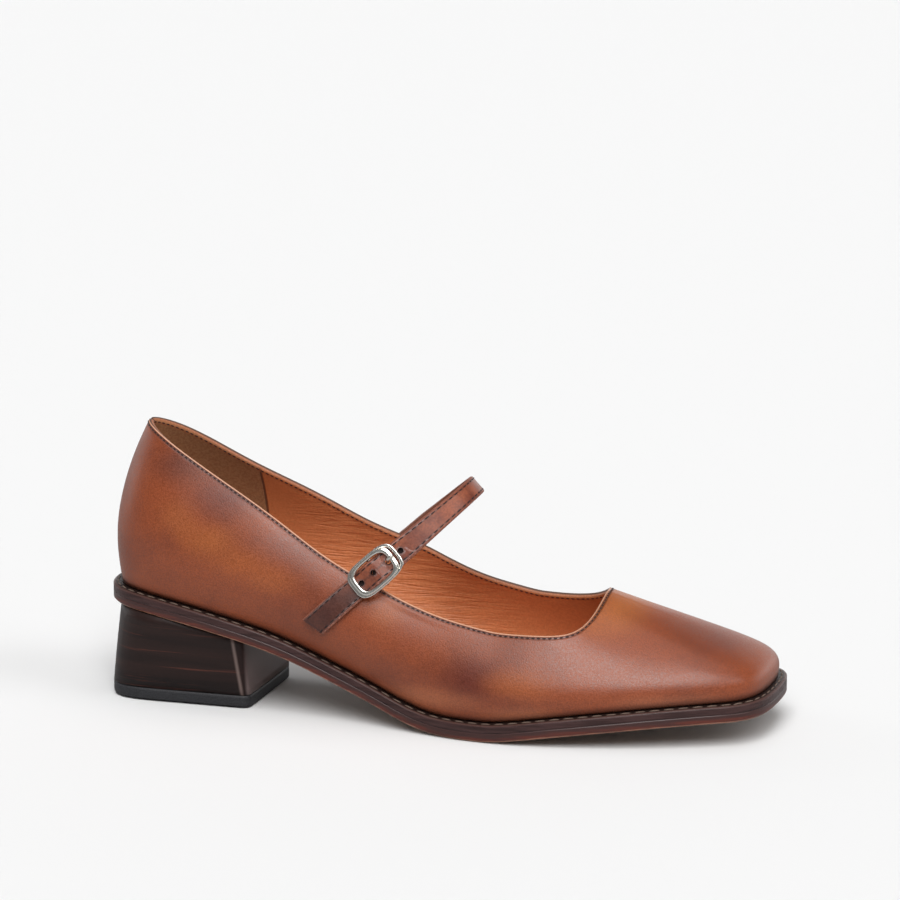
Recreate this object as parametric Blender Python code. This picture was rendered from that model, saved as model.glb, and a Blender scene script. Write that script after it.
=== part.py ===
# A woman's mary jane shoe for the right foot, on a low block heel.
# Metres, +X towards the toe, -Y the outside of the foot (the buckle's side), +Z up.
# The origin lies on the heel's resting face and the floor is z = 0.
import math

import bmesh
import bpy
import numpy as np
from mathutils import Vector

# Driving dimensions of the sole
SOLE_LENGTH = 0.2541
SOLE_WIDTH = 0.0848
SOLE_BACK = -0.0318
HEEL_RISE = 0.0360
TOE_SPRING = 0.0101
OUTSOLE_THICK = 0.0030
OUTSOLE_ROUND = 0.0008
WELT_THICK = 0.0028
WELT_SHOW = 0.0032
WELT_TILT = 0.0005
WELT_BAND = 0.0110
INSOLE_THICK = 0.0026
CLEARANCE = 0.0003

# Driving dimensions of the upper
BACK_HEIGHT = 0.0608
UPPER_WALL = 0.0018
BELLY = 0.0075
TOE_BOX = 0.0115

# Driving dimensions of the heel
HEEL_WIDTH = 0.0480
HEEL_SEAT_WIDTH = 0.0560
HEEL_LENGTH = 0.0588
HEEL_FRONT = 0.0283
HEEL_FLARE = 0.0022
HEEL_BREAST_LEAN = 0.0012
HEEL_CORNER = 0.0032
HEEL_SQUARENESS = 3.4
HEEL_SEAT_SQUARENESS = 2.3
TOP_LIFT_THICK = 0.0047
TOP_LIFT_ROUND = 0.0005

# Driving dimensions of the strap and its buckle
STRAP_WIDTH = 0.0090
STRAP_THICK = 0.0020
STRAP_NARROWING = 0.0016
STRAP_CHAMFER = 0.0005
STRAP_STANDOFF = 0.0004
STRAP_TOP_SHARE = 0.57
STRAP_TAPER_SHARE = 0.27
STRAP_LEAN = math.radians(42.0)
STRAP_START = 0.0145
STRAP_SKEW = 0.045
STRAP_END_CUT = 0.0024
STRAP_ARCH = 0.0434
STRAP_TAIL = 0.0267
STRAP_ANCHOR = 0.0150
STRAP_RISE = 0.00140
STRAP_RISE_REACH = 0.0038
HOLE_PITCH = 0.0062
HOLE_RADIUS = 0.0011
HOLE_COUNT = 4
PRONG_HOLE = 2
PRONG_HOLE_REACH = 0.0059
PRONG_HEADING = (0.36, 0.93)
BUCKLE_REACH = 0.0055
BUCKLE_END_BAR = 0.0028
BUCKLE_RIM_REACH = 0.0012
BUCKLE_SLOT = 0.0010
BUCKLE_SLOT_BACK = 0.0019
BUCKLE_SIDE_BAR = 0.0018
BUCKLE_FLANGE = 0.0008
BUCKLE_OPENING = 0.0146
BUCKLE_THICK = 0.0015
BUCKLE_CORNERS = 0.50
CENTRE_BAR_RADIUS = 0.0008
CENTRE_BAR_DROP = 0.0013
PRONG_RADIUS = 0.00065
TAB_WIDTH = 0.0072
TAB_THICK = 0.0010
TAB_DEPTH = 0.0120
TAB_SLOT = 0.0024

# How finely the curved pieces are divided
SOLE_STATIONS = 60
UPPER_COLUMNS = 96
UPPER_STEPS = 13
STRAP_STATIONS = 56
HEEL_BACK_POINTS = 28
HEEL_CORNER_POINTS = 5
CURVE_POINTS = 1440

# The sole seen from below: shares of SOLE_LENGTH, and of half SOLE_WIDTH on each side
SOLE_OUTLINE = (
    # along, outside, inside
    (0.000, 0.000, 0.000),
    (0.003, 0.175, 0.175),
    (0.013, 0.344, 0.344),
    (0.034, 0.491, 0.486),
    (0.073, 0.608, 0.597),
    (0.122, 0.684, 0.665),
    (0.193, 0.731, 0.693),
    (0.300, 0.726, 0.637),
    (0.399, 0.764, 0.618),
    (0.478, 0.844, 0.703),
    (0.557, 0.934, 0.854),
    (0.636, 0.986, 0.976),
    (0.715, 0.962, 1.024),
    (0.794, 0.877, 1.028),
    (0.872, 0.743, 1.005),
    (0.928, 0.613, 0.953),
    (0.963, 0.506, 0.858),
    (0.986, 0.335, 0.722),
    (0.997, 0.090, 0.533),
    (1.000, -0.236, 0.236),
)

# The sole's underside seen from the side: shares of HEEL_RISE and of TOE_SPRING
SOLE_PROFILE = (
    # along, heel rise, toe spring
    (0.000, 1.000, 0.000),
    (0.067, 0.961, 0.000),
    (0.138, 0.897, 0.000),
    (0.221, 0.778, 0.000),
    (0.288, 0.644, 0.000),
    (0.371, 0.417, 0.000),
    (0.450, 0.200, 0.000),
    (0.480, 0.112, 0.000),
    (0.510, 0.045, 0.000),
    (0.540, 0.009, 0.000),
    (0.565, 0.000, 0.000),
    (0.612, 0.000, 0.000),
    (0.647, 0.000, 0.110),
    (0.707, 0.000, 0.346),
    (0.786, 0.000, 0.606),
    (0.861, 0.000, 0.808),
    (0.920, 0.000, 0.913),
    (1.000, 0.000, 1.000),
)

# The upper in equal steps round the foot, from the back of the heel by the outside to the toe
# and back along the inside. The topline is given as shares of SOLE_LENGTH, of half SOLE_WIDTH
# (minus is the outside) and of BACK_HEIGHT over the sole. Belly is a share of BELLY, vamp says
# how far a section is a toe section (1) or a quarter section (0), and box is a share of TOE_BOX.
UPPER_SECTIONS = (
    # along, side, height, belly, vamp, box
    (0.052, 0.000, 1.012, 0.80, 0.00, 0.00),
    (0.096, -0.300, 0.951, 0.84, 0.00, 0.00),
    (0.175, -0.440, 0.832, 0.85, 0.00, 0.00),
    (0.262, -0.550, 0.730, 0.85, 0.00, 0.00),
    (0.350, -0.618, 0.635, 0.80, 0.00, 0.00),
    (0.432, -0.655, 0.603, 0.75, 0.00, 0.00),
    (0.515, -0.680, 0.590, 0.70, 0.00, 0.00),
    (0.595, -0.700, 0.535, 0.65, 0.05, 0.80),
    (0.668, -0.700, 0.486, 0.50, 0.22, 0.80),
    (0.718, -0.640, 0.465, 0.35, 0.55, 0.80),
    (0.741, -0.470, 0.500, 0.22, 0.85, 0.80),
    (0.748, -0.230, 0.560, 0.14, 1.00, 0.86),
    (0.748, 0.020, 0.600, 0.14, 1.00, 0.86),
    (0.744, 0.250, 0.595, 0.14, 1.00, 0.78),
    (0.733, 0.450, 0.560, 0.22, 0.85, 0.62),
    (0.706, 0.600, 0.515, 0.35, 0.55, 0.62),
    (0.655, 0.655, 0.525, 0.50, 0.22, 0.62),
    (0.585, 0.670, 0.578, 0.65, 0.05, 0.62),
    (0.508, 0.668, 0.638, 0.75, 0.00, 0.00),
    (0.430, 0.655, 0.658, 0.80, 0.00, 0.00),
    (0.350, 0.615, 0.660, 0.80, 0.00, 0.00),
    (0.265, 0.550, 0.710, 0.80, 0.00, 0.00),
    (0.178, 0.430, 0.803, 0.85, 0.00, 0.00),
    (0.095, 0.290, 0.942, 0.84, 0.00, 0.00),
)

# How a quarter section and a toe section rise from the feather line to the topline: shares of
# the straight line between the two, of the section's belly and of TOE_BOX
WALL_CURVES = (
    # quarter share, quarter belly, toe share, toe belly, toe box
    (0.12, 0.45, 0.000, 0.80, 0.30),
    (0.32, 1.00, 0.005, 1.00, 0.74),
    (0.55, 1.00, 0.110, 0.20, 0.88),
    (0.75, 0.75, 0.430, 0.00, 0.58),
    (0.90, 0.35, 0.760, 0.00, 0.26),
)

# The strap's loop over the instep: shares of half the opening's width and of STRAP_ARCH
STRAP_LOOP = (
    # across, up
    (-1.045, 0.000),
    (-1.005, 0.140),
    (-0.960, 0.280),
    (-0.890, 0.440),
    (-0.780, 0.615),
    (-0.600, 0.800),
    (-0.340, 0.945),
    (0.000, 1.000),
    (0.340, 0.955),
    (0.600, 0.820),
    (0.780, 0.640),
    (0.890, 0.460),
    (0.955, 0.280),
    (0.998, 0.130),
    (1.035, 0.000),
)


def clear_scene():
    for thing in list(bpy.data.objects):
        bpy.data.objects.remove(thing, do_unlink=True)


def material(name, colour, roughness, metallic=0.0):
    made = bpy.data.materials.new(name)
    made.use_nodes = True
    shader = made.node_tree.nodes["Principled BSDF"]
    shader.inputs["Base Color"].default_value = (*colour, 1.0)
    shader.inputs["Roughness"].default_value = roughness
    shader.inputs["Metallic"].default_value = metallic
    return made


def cubic_slopes(knots, values, closed):
    # Slopes of the smooth curve through the values (second derivative continuous)
    count = len(knots)
    steps = np.diff(knots)
    rises = np.diff(values, axis=0) / steps[:, None]
    rows = count - 1 if closed else count
    matrix = np.zeros((rows, rows))
    right = np.zeros((rows, values.shape[1]))
    for i in range(rows):
        before, after = i - 1, i
        if closed or 0 < i < count - 1:
            h0, h1 = steps[before], steps[after % len(steps)]
            matrix[i, (i - 1) % rows] += h1
            matrix[i, i] += 2 * (h0 + h1)
            matrix[i, (i + 1) % rows] += h0
            right[i] = 3 * (h1 * rises[before] + h0 * rises[after % len(steps)])
        else:
            near = 0 if i == 0 else count - 2
            matrix[i, i] = 2
            matrix[i, 1 if i == 0 else count - 2] += 1
            right[i] = 3 * rises[near]
    slopes = np.linalg.solve(matrix, right)
    return np.vstack([slopes, slopes[:1]]) if closed else slopes


def smooth_curve(points, where=None, knots=None, closed=False):
    # Reads the smooth curve through the points at the places in where (0 to 1)
    points = np.asarray(points, float)
    if closed:
        points = np.vstack([points, points[:1]])
    if knots is None:
        knots = np.concatenate([[0.0], np.cumsum(np.linalg.norm(np.diff(points, axis=0), axis=1))])
        knots = knots / knots[-1]
    slopes = cubic_slopes(knots, points, closed)
    span = np.clip(np.searchsorted(knots, where, side="right") - 1, 0, len(knots) - 2)
    width = (knots[span + 1] - knots[span])[:, None]
    t = (np.asarray(where) - knots[span])[:, None] / width
    a, b = points[span], points[span + 1]
    return (a * (1 + 2 * t) * (1 - t) ** 2 + b * t * t * (3 - 2 * t)
            + slopes[span] * width * t * (1 - t) ** 2 - slopes[span + 1] * width * t * t * (1 - t))


def monotone_curve(knots, values, where):
    # A curve through the values that never overshoots, so a flat stretch stays flat
    steps = np.diff(knots)
    rises = np.diff(values) / steps
    slopes = np.zeros(len(values))
    for i in range(1, len(values) - 1):
        if rises[i - 1] * rises[i] > 0:
            w0 = 2 * steps[i] + steps[i - 1]
            w1 = steps[i] + 2 * steps[i - 1]
            slopes[i] = (w0 + w1) / (w0 / rises[i - 1] + w1 / rises[i])
    slopes[0], slopes[-1] = rises[0], rises[-1]
    span = np.clip(np.searchsorted(knots, where, side="right") - 1, 0, len(knots) - 2)
    width = steps[span]
    t = (where - knots[span]) / width
    return (values[span] * (1 + 2 * t) * (1 - t) ** 2 + values[span + 1] * t * t * (3 - 2 * t)
            + slopes[span] * width * t * (1 - t) ** 2 - slopes[span + 1] * width * t * t * (1 - t))


def sole_bottom(x):
    # Height of the outsole's underside
    along = np.clip((np.asarray(x, float) - SOLE_BACK) / SOLE_LENGTH, 0.0, 1.0)
    table = np.array(SOLE_PROFILE)
    heights = table[:, 1] * HEEL_RISE + table[:, 2] * TOE_SPRING
    return monotone_curve(table[:, 0], heights, along)


def sole_outline():
    # The sole's edge as a dense closed line: back of the heel, outside, toe, inside
    outside = [(SOLE_BACK + a * SOLE_LENGTH, -o * SOLE_WIDTH / 2) for a, o, i in SOLE_OUTLINE]
    inside = [(SOLE_BACK + a * SOLE_LENGTH, i * SOLE_WIDTH / 2) for a, o, i in SOLE_OUTLINE]
    ring = outside + inside[-2:0:-1]
    return smooth_curve(ring, np.linspace(0.0, 1.0, CURVE_POINTS, endpoint=False), closed=True)


def inset_outline(inset):
    # The sole's edge moved inwards by inset
    line = sole_outline()
    ahead = np.roll(line, -1, 0) - np.roll(line, 1, 0)
    ahead /= np.linalg.norm(ahead, axis=1)[:, None]
    return line + np.stack([-ahead[:, 1], ahead[:, 0]], 1) * inset


def station_loop(inset, lift):
    # A loop round the sole at the same stations on both sides, lift above the sole's underside
    line = inset_outline(inset)
    back = int(np.argmin(line[:, 0]))
    line = np.roll(line, -back, 0)
    toe = int(np.argmax(line[:, 0]))
    outside = line[:toe + 1]
    inside = np.vstack([line[toe:], line[:1]])[::-1]
    first, last = line[0, 0], line[toe, 0]
    turn = np.linspace(0.0, math.pi, SOLE_STATIONS + 1)
    x = first + (last - first) * (1 - np.cos(turn)) / 2
    y_out = np.interp(x, outside[:, 0], outside[:, 1])
    y_in = np.interp(x, inside[:, 0], inside[:, 1])
    x_ring = np.concatenate([x, x[-2:0:-1]])
    y_ring = np.concatenate([y_out, y_in[-2:0:-1]])
    return np.stack([x_ring, y_ring, sole_bottom(x_ring) + lift], 1)


def finish(name, mesh_bm, look, smooth=True, angle=35.0):
    bmesh.ops.recalc_face_normals(mesh_bm, faces=mesh_bm.faces)
    mesh = bpy.data.meshes.new(name)
    mesh_bm.to_mesh(mesh)
    mesh_bm.free()
    if smooth:
        mesh.shade_smooth()
        mesh.set_sharp_from_angle(angle=math.radians(angle))
    made = bpy.data.objects.new(name, mesh)
    mesh.materials.append(look)
    bpy.context.scene.collection.objects.link(made)
    return made


def add_rings(mesh_bm, rings):
    return [[mesh_bm.verts.new(Vector(point)) for point in ring] for ring in rings]


def join_rings(mesh_bm, first, second):
    count = len(first)
    for i in range(count):
        j = (i + 1) % count
        mesh_bm.faces.new((first[i], first[j], second[j], second[i]))


def cap_stations(mesh_bm, ring):
    # Closes a station loop straight across the sole, so that each strip is flat
    half = len(ring) // 2
    mesh_bm.faces.new((ring[0], ring[1], ring[-1]))
    for i in range(1, half - 1):
        mesh_bm.faces.new((ring[i], ring[i + 1], ring[-i - 1], ring[-i]))
    mesh_bm.faces.new((ring[half - 1], ring[half], ring[half + 1]))


def plate(name, rings, look, angle=35.0):
    # A plate whose first loop is its underside and whose last loop is its top
    mesh_bm = bmesh.new()
    loops = add_rings(mesh_bm, rings)
    for lower, upper in zip(loops, loops[1:]):
        join_rings(mesh_bm, lower, upper)
    cap_stations(mesh_bm, loops[0])
    cap_stations(mesh_bm, loops[-1])
    return finish(name, mesh_bm, look, angle=angle)


def closed_band(name, rings, look, angle=35.0):
    # A ring-shaped piece: the loops go once round its section, the last joins the first
    mesh_bm = bmesh.new()
    loops = add_rings(mesh_bm, rings)
    for here, there in zip(loops, loops[1:] + loops[:1]):
        join_rings(mesh_bm, here, there)
    return finish(name, mesh_bm, look, angle=angle)


def swept_strip(name, sections, look, angle=35.0):
    # An open strip or rod: each section is a closed loop, and both ends are flat
    mesh_bm = bmesh.new()
    loops = add_rings(mesh_bm, sections)
    for here, there in zip(loops, loops[1:]):
        join_rings(mesh_bm, here, there)
    mesh_bm.faces.new(loops[0])
    mesh_bm.faces.new(loops[-1])
    return finish(name, mesh_bm, look, angle=angle)


def welt_outer_height():
    return OUTSOLE_THICK + CLEARANCE + WELT_THICK


def feather_height():
    return welt_outer_height() + WELT_TILT


def make_outsole(look):
    rings = (
        station_loop(OUTSOLE_ROUND, 0.0),
        station_loop(0.0, OUTSOLE_ROUND),
        station_loop(0.0, OUTSOLE_THICK),
    )
    return plate("outsole", rings, look)


def make_welt(look):
    low = OUTSOLE_THICK + CLEARANCE
    edge = WELT_THICK * 0.12
    rings = (
        station_loop(WELT_BAND, low),
        station_loop(0.0, low),
        station_loop(0.0, welt_outer_height() - edge),
        station_loop(edge, welt_outer_height()),
        station_loop(WELT_SHOW - CLEARANCE, feather_height()),
        station_loop(WELT_BAND, feather_height()),
    )
    return closed_band("welt", rings, look)


def make_insole(look):
    # The insole board, with the filler under it that levels the space inside the welt
    plug = WELT_BAND + CLEARANCE
    board = WELT_SHOW + UPPER_WALL + CLEARANCE
    under = feather_height() + CLEARANCE
    rings = (
        station_loop(plug, OUTSOLE_THICK + CLEARANCE),
        station_loop(plug, under),
        station_loop(board, under),
        station_loop(board, under + INSOLE_THICK),
    )
    return plate("insole", rings, look)


def spline_weights(count, order, t):
    # Weights of the control points of a clamped spline at t, one row for each place
    inner = count - order + 1
    knots = np.concatenate([np.zeros(order - 1), np.linspace(0.0, 1.0, inner + 1), np.ones(order - 1)])
    t = np.clip(np.asarray(t, float), 0.0, 1.0 - 1e-9)
    weights = ((knots[:-1] <= t[:, None]) & (t[:, None] < knots[1:])).astype(float)
    for degree in range(1, order):
        size = len(knots) - degree - 1
        grown = np.zeros((len(t), size))
        for i in range(size):
            left = knots[i + degree] - knots[i]
            right = knots[i + degree + 1] - knots[i + 1]
            if left > 0:
                grown[:, i] += (t - knots[i]) / left * weights[:, i]
            if right > 0:
                grown[:, i] += (knots[i + degree + 1] - t) / right * weights[:, i + 1]
        weights = grown
    return weights


class Upper:
    # The outer surface of the upper: around goes round the foot (0 to 1 from the back of the
    # heel by the outside), and up goes from the feather line (0) to the topline (1).
    def __init__(self):
        feather = inset_outline(WELT_SHOW)
        lengths = np.linalg.norm(np.roll(feather, -1, 0) - feather, axis=1)
        self.places = np.concatenate([[0.0], np.cumsum(lengths)]) / lengths.sum()
        ahead = np.roll(feather, -1, 0) - np.roll(feather, 1, 0)
        ahead /= np.linalg.norm(ahead, axis=1)[:, None]
        outward = np.stack([ahead[:, 1], -ahead[:, 0]], 1)
        self.feather = np.vstack([feather, feather[:1]])
        self.outward = np.vstack([outward, outward[:1]])
        self.table = np.array(UPPER_SECTIONS)
        self.curves = np.array(WALL_CURVES)

    def controls(self, around):
        around = np.mod(np.asarray(around, float), 1.0)
        rows = smooth_curve(self.table, around, np.linspace(0, 1, len(self.table) + 1), closed=True)
        foot = np.zeros((len(around), 3))
        out = np.zeros((len(around), 3))
        for k in (0, 1):
            foot[:, k] = np.interp(around, self.places, self.feather[:, k])
            out[:, k] = np.interp(around, self.places, self.outward[:, k])
        foot[:, 2] = sole_bottom(foot[:, 0]) + feather_height() + CLEARANCE
        top = np.zeros((len(around), 3))
        top[:, 0] = SOLE_BACK + rows[:, 0] * SOLE_LENGTH
        top[:, 1] = rows[:, 1] * SOLE_WIDTH / 2
        top[:, 2] = sole_bottom(top[:, 0]) + feather_height() + rows[:, 2] * BACK_HEIGHT
        belly = (rows[:, 3] * BELLY)[:, None]
        vamp = np.clip(rows[:, 4], 0.0, 1.0)[:, None]
        box_rise = TOE_BOX * vamp[:, 0] * rows[:, 5]
        net = [foot]
        for quarter, quarter_belly, toe, toe_belly, box in self.curves:
            share = quarter * (1 - vamp) + toe * vamp
            spread = belly * (quarter_belly * (1 - vamp) + toe_belly * vamp)
            point = foot + (top - foot) * share + out * spread
            point[:, 2] += box * box_rise
            net.append(point)
        net.append(top)
        return np.stack(net, 1)

    def at(self, around, up):
        weights = spline_weights(len(self.curves) + 2, 4, up)
        return np.einsum("nk,nkd->nd", weights, self.controls(around))

    def normal(self, around, up):
        around, up = np.asarray(around, float), np.asarray(up, float)
        step = 1e-3
        low, high = np.clip(up - step, 0, 1), np.clip(up + step, 0, 1)
        across = self.at(around + step, up) - self.at(around - step, up)
        rise = self.at(around, high) - self.at(around, low)
        normal = np.cross(across, rise)
        return normal / np.linalg.norm(normal, axis=1)[:, None]


def make_upper(shape, look):
    around = np.arange(UPPER_COLUMNS) / UPPER_COLUMNS
    outer, inner = [], []
    for up in np.linspace(0.0, 1.0, UPPER_STEPS):
        level = np.full(UPPER_COLUMNS, up)
        skin = shape.at(around, level)
        lining = skin - shape.normal(around, level) * UPPER_WALL
        if up == 0.0:
            lining[:, 2] = skin[:, 2]
        outer.append(skin)
        inner.append(lining)
    return closed_band("upper", outer + inner[::-1], look, angle=50.0)


def heel_outline(back, front, half_width, squareness, corner):
    # Half a rounded back, straight sides and a breast with rounded corners
    widest = back + half_width
    points = []
    for turn in np.linspace(-math.pi / 2, math.pi / 2, HEEL_BACK_POINTS):
        x = widest - half_width * abs(math.cos(turn)) ** (2 / squareness)
        y = half_width * math.copysign(abs(math.sin(turn)) ** (2 / squareness), math.sin(turn))
        points.append((x, y))
    for side in (1, -1):
        for turn in np.linspace(0.0, math.pi / 2, HEEL_CORNER_POINTS):
            bend = turn if side > 0 else math.pi / 2 - turn
            x = front - corner + corner * math.sin(bend)
            y = side * (half_width - corner + corner * math.cos(bend))
            points.append((x, y))
    return np.array(points)


def heel_ring(share, z):
    # One level of the heel, from its resting face (0) to the sole (1)
    back = HEEL_FRONT - HEEL_LENGTH + HEEL_FLARE * share
    front = HEEL_FRONT - HEEL_BREAST_LEAN * share
    half = (HEEL_WIDTH + (HEEL_SEAT_WIDTH - HEEL_WIDTH) * share) / 2
    squareness = HEEL_SQUARENESS + (HEEL_SEAT_SQUARENESS - HEEL_SQUARENESS) * share
    ring = heel_outline(back, front, half, squareness, HEEL_CORNER)
    return np.c_[ring, np.full(len(ring), z)]


def fan_cap(mesh_bm, ring):
    # Closes a heel ring across, back to front, in strips that follow the sole's slope
    count = len(ring)
    half = HEEL_BACK_POINTS
    low, high = 0, half - 1
    while high - low > 1:
        if high - low == 2:
            mesh_bm.faces.new((ring[low], ring[low + 1], ring[high]))
        else:
            mesh_bm.faces.new((ring[low], ring[low + 1], ring[high - 1], ring[high]))
        low, high = low + 1, high - 1
    left, right = 0, half - 1
    while (left - 1) % count != (right + 1) % count:
        before, after = (left - 1) % count, (right + 1) % count
        mesh_bm.faces.new((ring[before], ring[left], ring[right], ring[after]))
        left, right = before, after
        if (left - 1) % count == right or (right + 1) % count == left:
            break


def make_heel(look):
    levels = (0.0, 0.5, 1.0)
    low = TOP_LIFT_THICK + CLEARANCE
    rings = []
    for share in levels:
        ring = heel_ring(share, low)
        seat = sole_bottom(ring[:, 0]) - CLEARANCE
        ring[:, 2] += (seat - low) * share
        rings.append(ring)
    mesh_bm = bmesh.new()
    loops = add_rings(mesh_bm, rings)
    for lower, upper in zip(loops, loops[1:]):
        join_rings(mesh_bm, lower, upper)
    fan_cap(mesh_bm, loops[0])
    fan_cap(mesh_bm, loops[-1])
    return finish("heel_block", mesh_bm, look)


def make_top_lift(look):
    face = heel_outline(HEEL_FRONT - HEEL_LENGTH + TOP_LIFT_ROUND, HEEL_FRONT - TOP_LIFT_ROUND,
                        HEEL_WIDTH / 2 - TOP_LIFT_ROUND, HEEL_SQUARENESS,
                        HEEL_CORNER - TOP_LIFT_ROUND)
    rings = (
        np.c_[face, np.zeros(len(face))],
        heel_ring(0.0, TOP_LIFT_ROUND),
        heel_ring(0.0, TOP_LIFT_THICK),
    )
    mesh_bm = bmesh.new()
    loops = add_rings(mesh_bm, rings)
    for lower, upper in zip(loops, loops[1:]):
        join_rings(mesh_bm, lower, upper)
    fan_cap(mesh_bm, loops[0])
    fan_cap(mesh_bm, loops[-1])
    return finish("top_lift", mesh_bm, look)


def strap_directions():
    # Up the plane that the strap's loop lies in, and the way across the strap's width
    up = np.array([math.cos(STRAP_LEAN), 0.0, math.sin(STRAP_LEAN)])
    across = np.array([math.sin(STRAP_LEAN), 0.0, -math.cos(STRAP_LEAN)])
    return up, across


def quarter_crossing(shape, side, up):
    # Where the strap's plane crosses the quarter at one height: bisected round the foot
    across = strap_directions()[1]
    plane = across + np.array([0.0, STRAP_SKEW, 0.0])
    target = STRAP_START * across[0]
    low, high = (0.02, 0.45) if side < 0 else (0.98, 0.55)
    for _ in range(40):
        middle = (low + high) / 2
        if shape.at([middle], [up])[0] @ plane < target:
            low = middle
        else:
            high = middle
    return (low + high) / 2


def quarter_run(shape, side, length, count, gap):
    # Points down the quarter from the topline, gap off it (minus is inside it), and normals
    ups = np.linspace(1.0, 0.15, 35)
    rounds = np.array([quarter_crossing(shape, side, up) for up in ups])
    points = shape.at(rounds, ups)
    lengths = np.concatenate([[0.0], np.cumsum(np.linalg.norm(np.diff(points, axis=0), axis=1))])
    wanted = np.linspace(0.0, length, count)
    ups = np.interp(wanted, lengths, ups)
    rounds = np.array([quarter_crossing(shape, side, up) for up in ups])
    normals = shape.normal(rounds, ups)
    return shape.at(rounds, ups) + normals * gap, normals


class StrapPath:
    # The line of the strap's inner face, from the tail's end over the instep to the anchor
    def __init__(self, shape):
        up, across = strap_directions()
        tail, tail_normals = quarter_run(shape, -1, STRAP_TAIL, 6, STRAP_STANDOFF)
        anchor, anchor_normals = quarter_run(shape, 1, STRAP_ANCHOR, 4, STRAP_STANDOFF)
        start, end = tail[0], anchor[0]
        middle, half = (start[1] + end[1]) / 2, (end[1] - start[1]) / 2
        top = start @ up + STRAP_ARCH
        loop = []
        for side, share in STRAP_LOOP:
            base = start @ up * (1 - side) / 2 + end @ up * (1 + side) / 2
            height = base + (top - base) * share
            y = middle + half * side
            point = up * height + across * (STRAP_START * across[0] - STRAP_SKEW * y)
            point[1] = y
            loop.append(point)
        # Next to the topline the strap bridges the edge, so the runs stop short of it
        tail, tail_normals = tail[:1:-1], tail_normals[:1:-1]
        anchor, anchor_normals = anchor[1:], anchor_normals[1:]
        points = np.vstack([tail, loop, anchor])
        self.knots = np.concatenate([[0.0], np.cumsum(np.linalg.norm(np.diff(points, axis=0), axis=1))])
        self.length = self.knots[-1]
        self.knots /= self.length
        self.crossing = self.knots[len(tail)] * self.length
        plane = across + np.array([0.0, STRAP_SKEW, 0.0])
        self.across = plane / np.linalg.norm(plane)
        self.points = points
        twists = np.zeros(len(points))
        for i, normal in enumerate(tail_normals):
            twists[i] = self.twist_to(self.knots[i], normal)
        for i, normal in enumerate(anchor_normals):
            k = len(tail) + len(loop) + i
            twists[k] = self.twist_to(self.knots[k], normal)
        for i, (side, share) in enumerate(STRAP_LOOP):
            near = twists[len(tail) - 1] if side < 0 else twists[len(tail) + len(loop)]
            twists[len(tail) + i] = near * (1 - share)
        self.twists = twists

    def bare_frame(self, place):
        step = 1e-3
        ends = np.clip([place - step, place + step], 0.0, 1.0)
        low, high = smooth_curve(self.points, ends, self.knots)
        along = (high - low) / np.linalg.norm(high - low)
        out = np.cross(self.across, along)
        return along, out / np.linalg.norm(out)

    def twist_to(self, place, normal):
        along, out = self.bare_frame(place)
        side = np.cross(along, out)
        return math.atan2(normal @ side, normal @ out)

    def frame(self, distance):
        # Point, direction along the strap, direction off the foot, direction across the width
        place = distance / self.length
        point = smooth_curve(self.points, [place], self.knots)[0]
        along, out = self.bare_frame(place)
        side = np.cross(along, out)
        twist = np.interp(place, self.knots, self.twists)
        off = out * math.cos(twist) + side * math.sin(twist)
        return point, along, off, np.cross(along, off)

    def lift(self, distance):
        # The strap rises over the buckle's centre bar and the tab round it
        away = (distance - self.crossing - BUCKLE_REACH) / STRAP_RISE_REACH
        return STRAP_RISE * math.exp(-away * away)

    def buckle_seat(self):
        # The buckle lies straight across the strap from end bar to end bar
        half = (BUCKLE_OPENING + BUCKLE_END_BAR) / 2
        middle = self.crossing + BUCKLE_REACH
        low, high = self.frame(middle - half), self.frame(middle + half)
        along = high[0] - low[0]
        along /= np.linalg.norm(along)
        off = self.frame(middle)[2]
        off = off - along * (off @ along)
        off /= np.linalg.norm(off)
        return (low[0] + high[0]) / 2, along, off, np.cross(along, off)

    def buckle_underside(self):
        # The lowest level over the buckle's seat that clears the strap under the end bars
        point, along, off, side = self.buckle_seat()
        middle = self.crossing + BUCKLE_REACH
        level = 0.0
        for away in np.linspace(BUCKLE_OPENING / 2 * 0.7, BUCKLE_OPENING / 2 + BUCKLE_END_BAR, 12):
            for distance in (middle - away, middle + away):
                here = self.frame(distance)
                top = here[0] + here[2] * (self.lift(distance) + STRAP_THICK)
                level = max(level, (top - point) @ off)
        return level + CLEARANCE


def place_local(frame, along, off, side):
    point, t, n, b = frame
    return point + t * along + n * off + b * side


def cutter(name, rings):
    mesh_bm = bmesh.new()
    loops = add_rings(mesh_bm, rings)
    for here, there in zip(loops, loops[1:]):
        join_rings(mesh_bm, here, there)
    mesh_bm.faces.new(loops[0])
    mesh_bm.faces.new(loops[-1])
    bmesh.ops.recalc_face_normals(mesh_bm, faces=mesh_bm.faces)
    mesh = bpy.data.meshes.new(name)
    mesh_bm.to_mesh(mesh)
    mesh_bm.free()
    made = bpy.data.objects.new(name, mesh)
    made.hide_render = True
    made.display_type = "WIRE"
    bpy.context.scene.collection.objects.link(made)
    return made


def boolean(target, tool, operation):
    made = target.modifiers.new(tool.name, "BOOLEAN")
    made.operation = operation
    made.object = tool
    made.solver = "EXACT"


def headings(route):
    # The direction of travel at each point of a route, as unit vectors
    route = np.array(route)
    ahead = np.vstack([route[1:], route[-1:]]) - np.vstack([route[:1], route[:-1]])
    return ahead / np.linalg.norm(ahead, axis=1)[:, None]


def round_section(frame, along, off, radius, heading, count=8):
    # A round section in the plane of the strap's length and thickness, facing along heading
    point, t, n, b = frame
    across = t * -heading[1] + n * heading[0]
    middle = place_local(frame, along, off, 0.0)
    turns = np.arange(count) * 2 * math.pi / count
    return [middle + across * radius * math.cos(a) + b * radius * math.sin(a) for a in turns]


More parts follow.
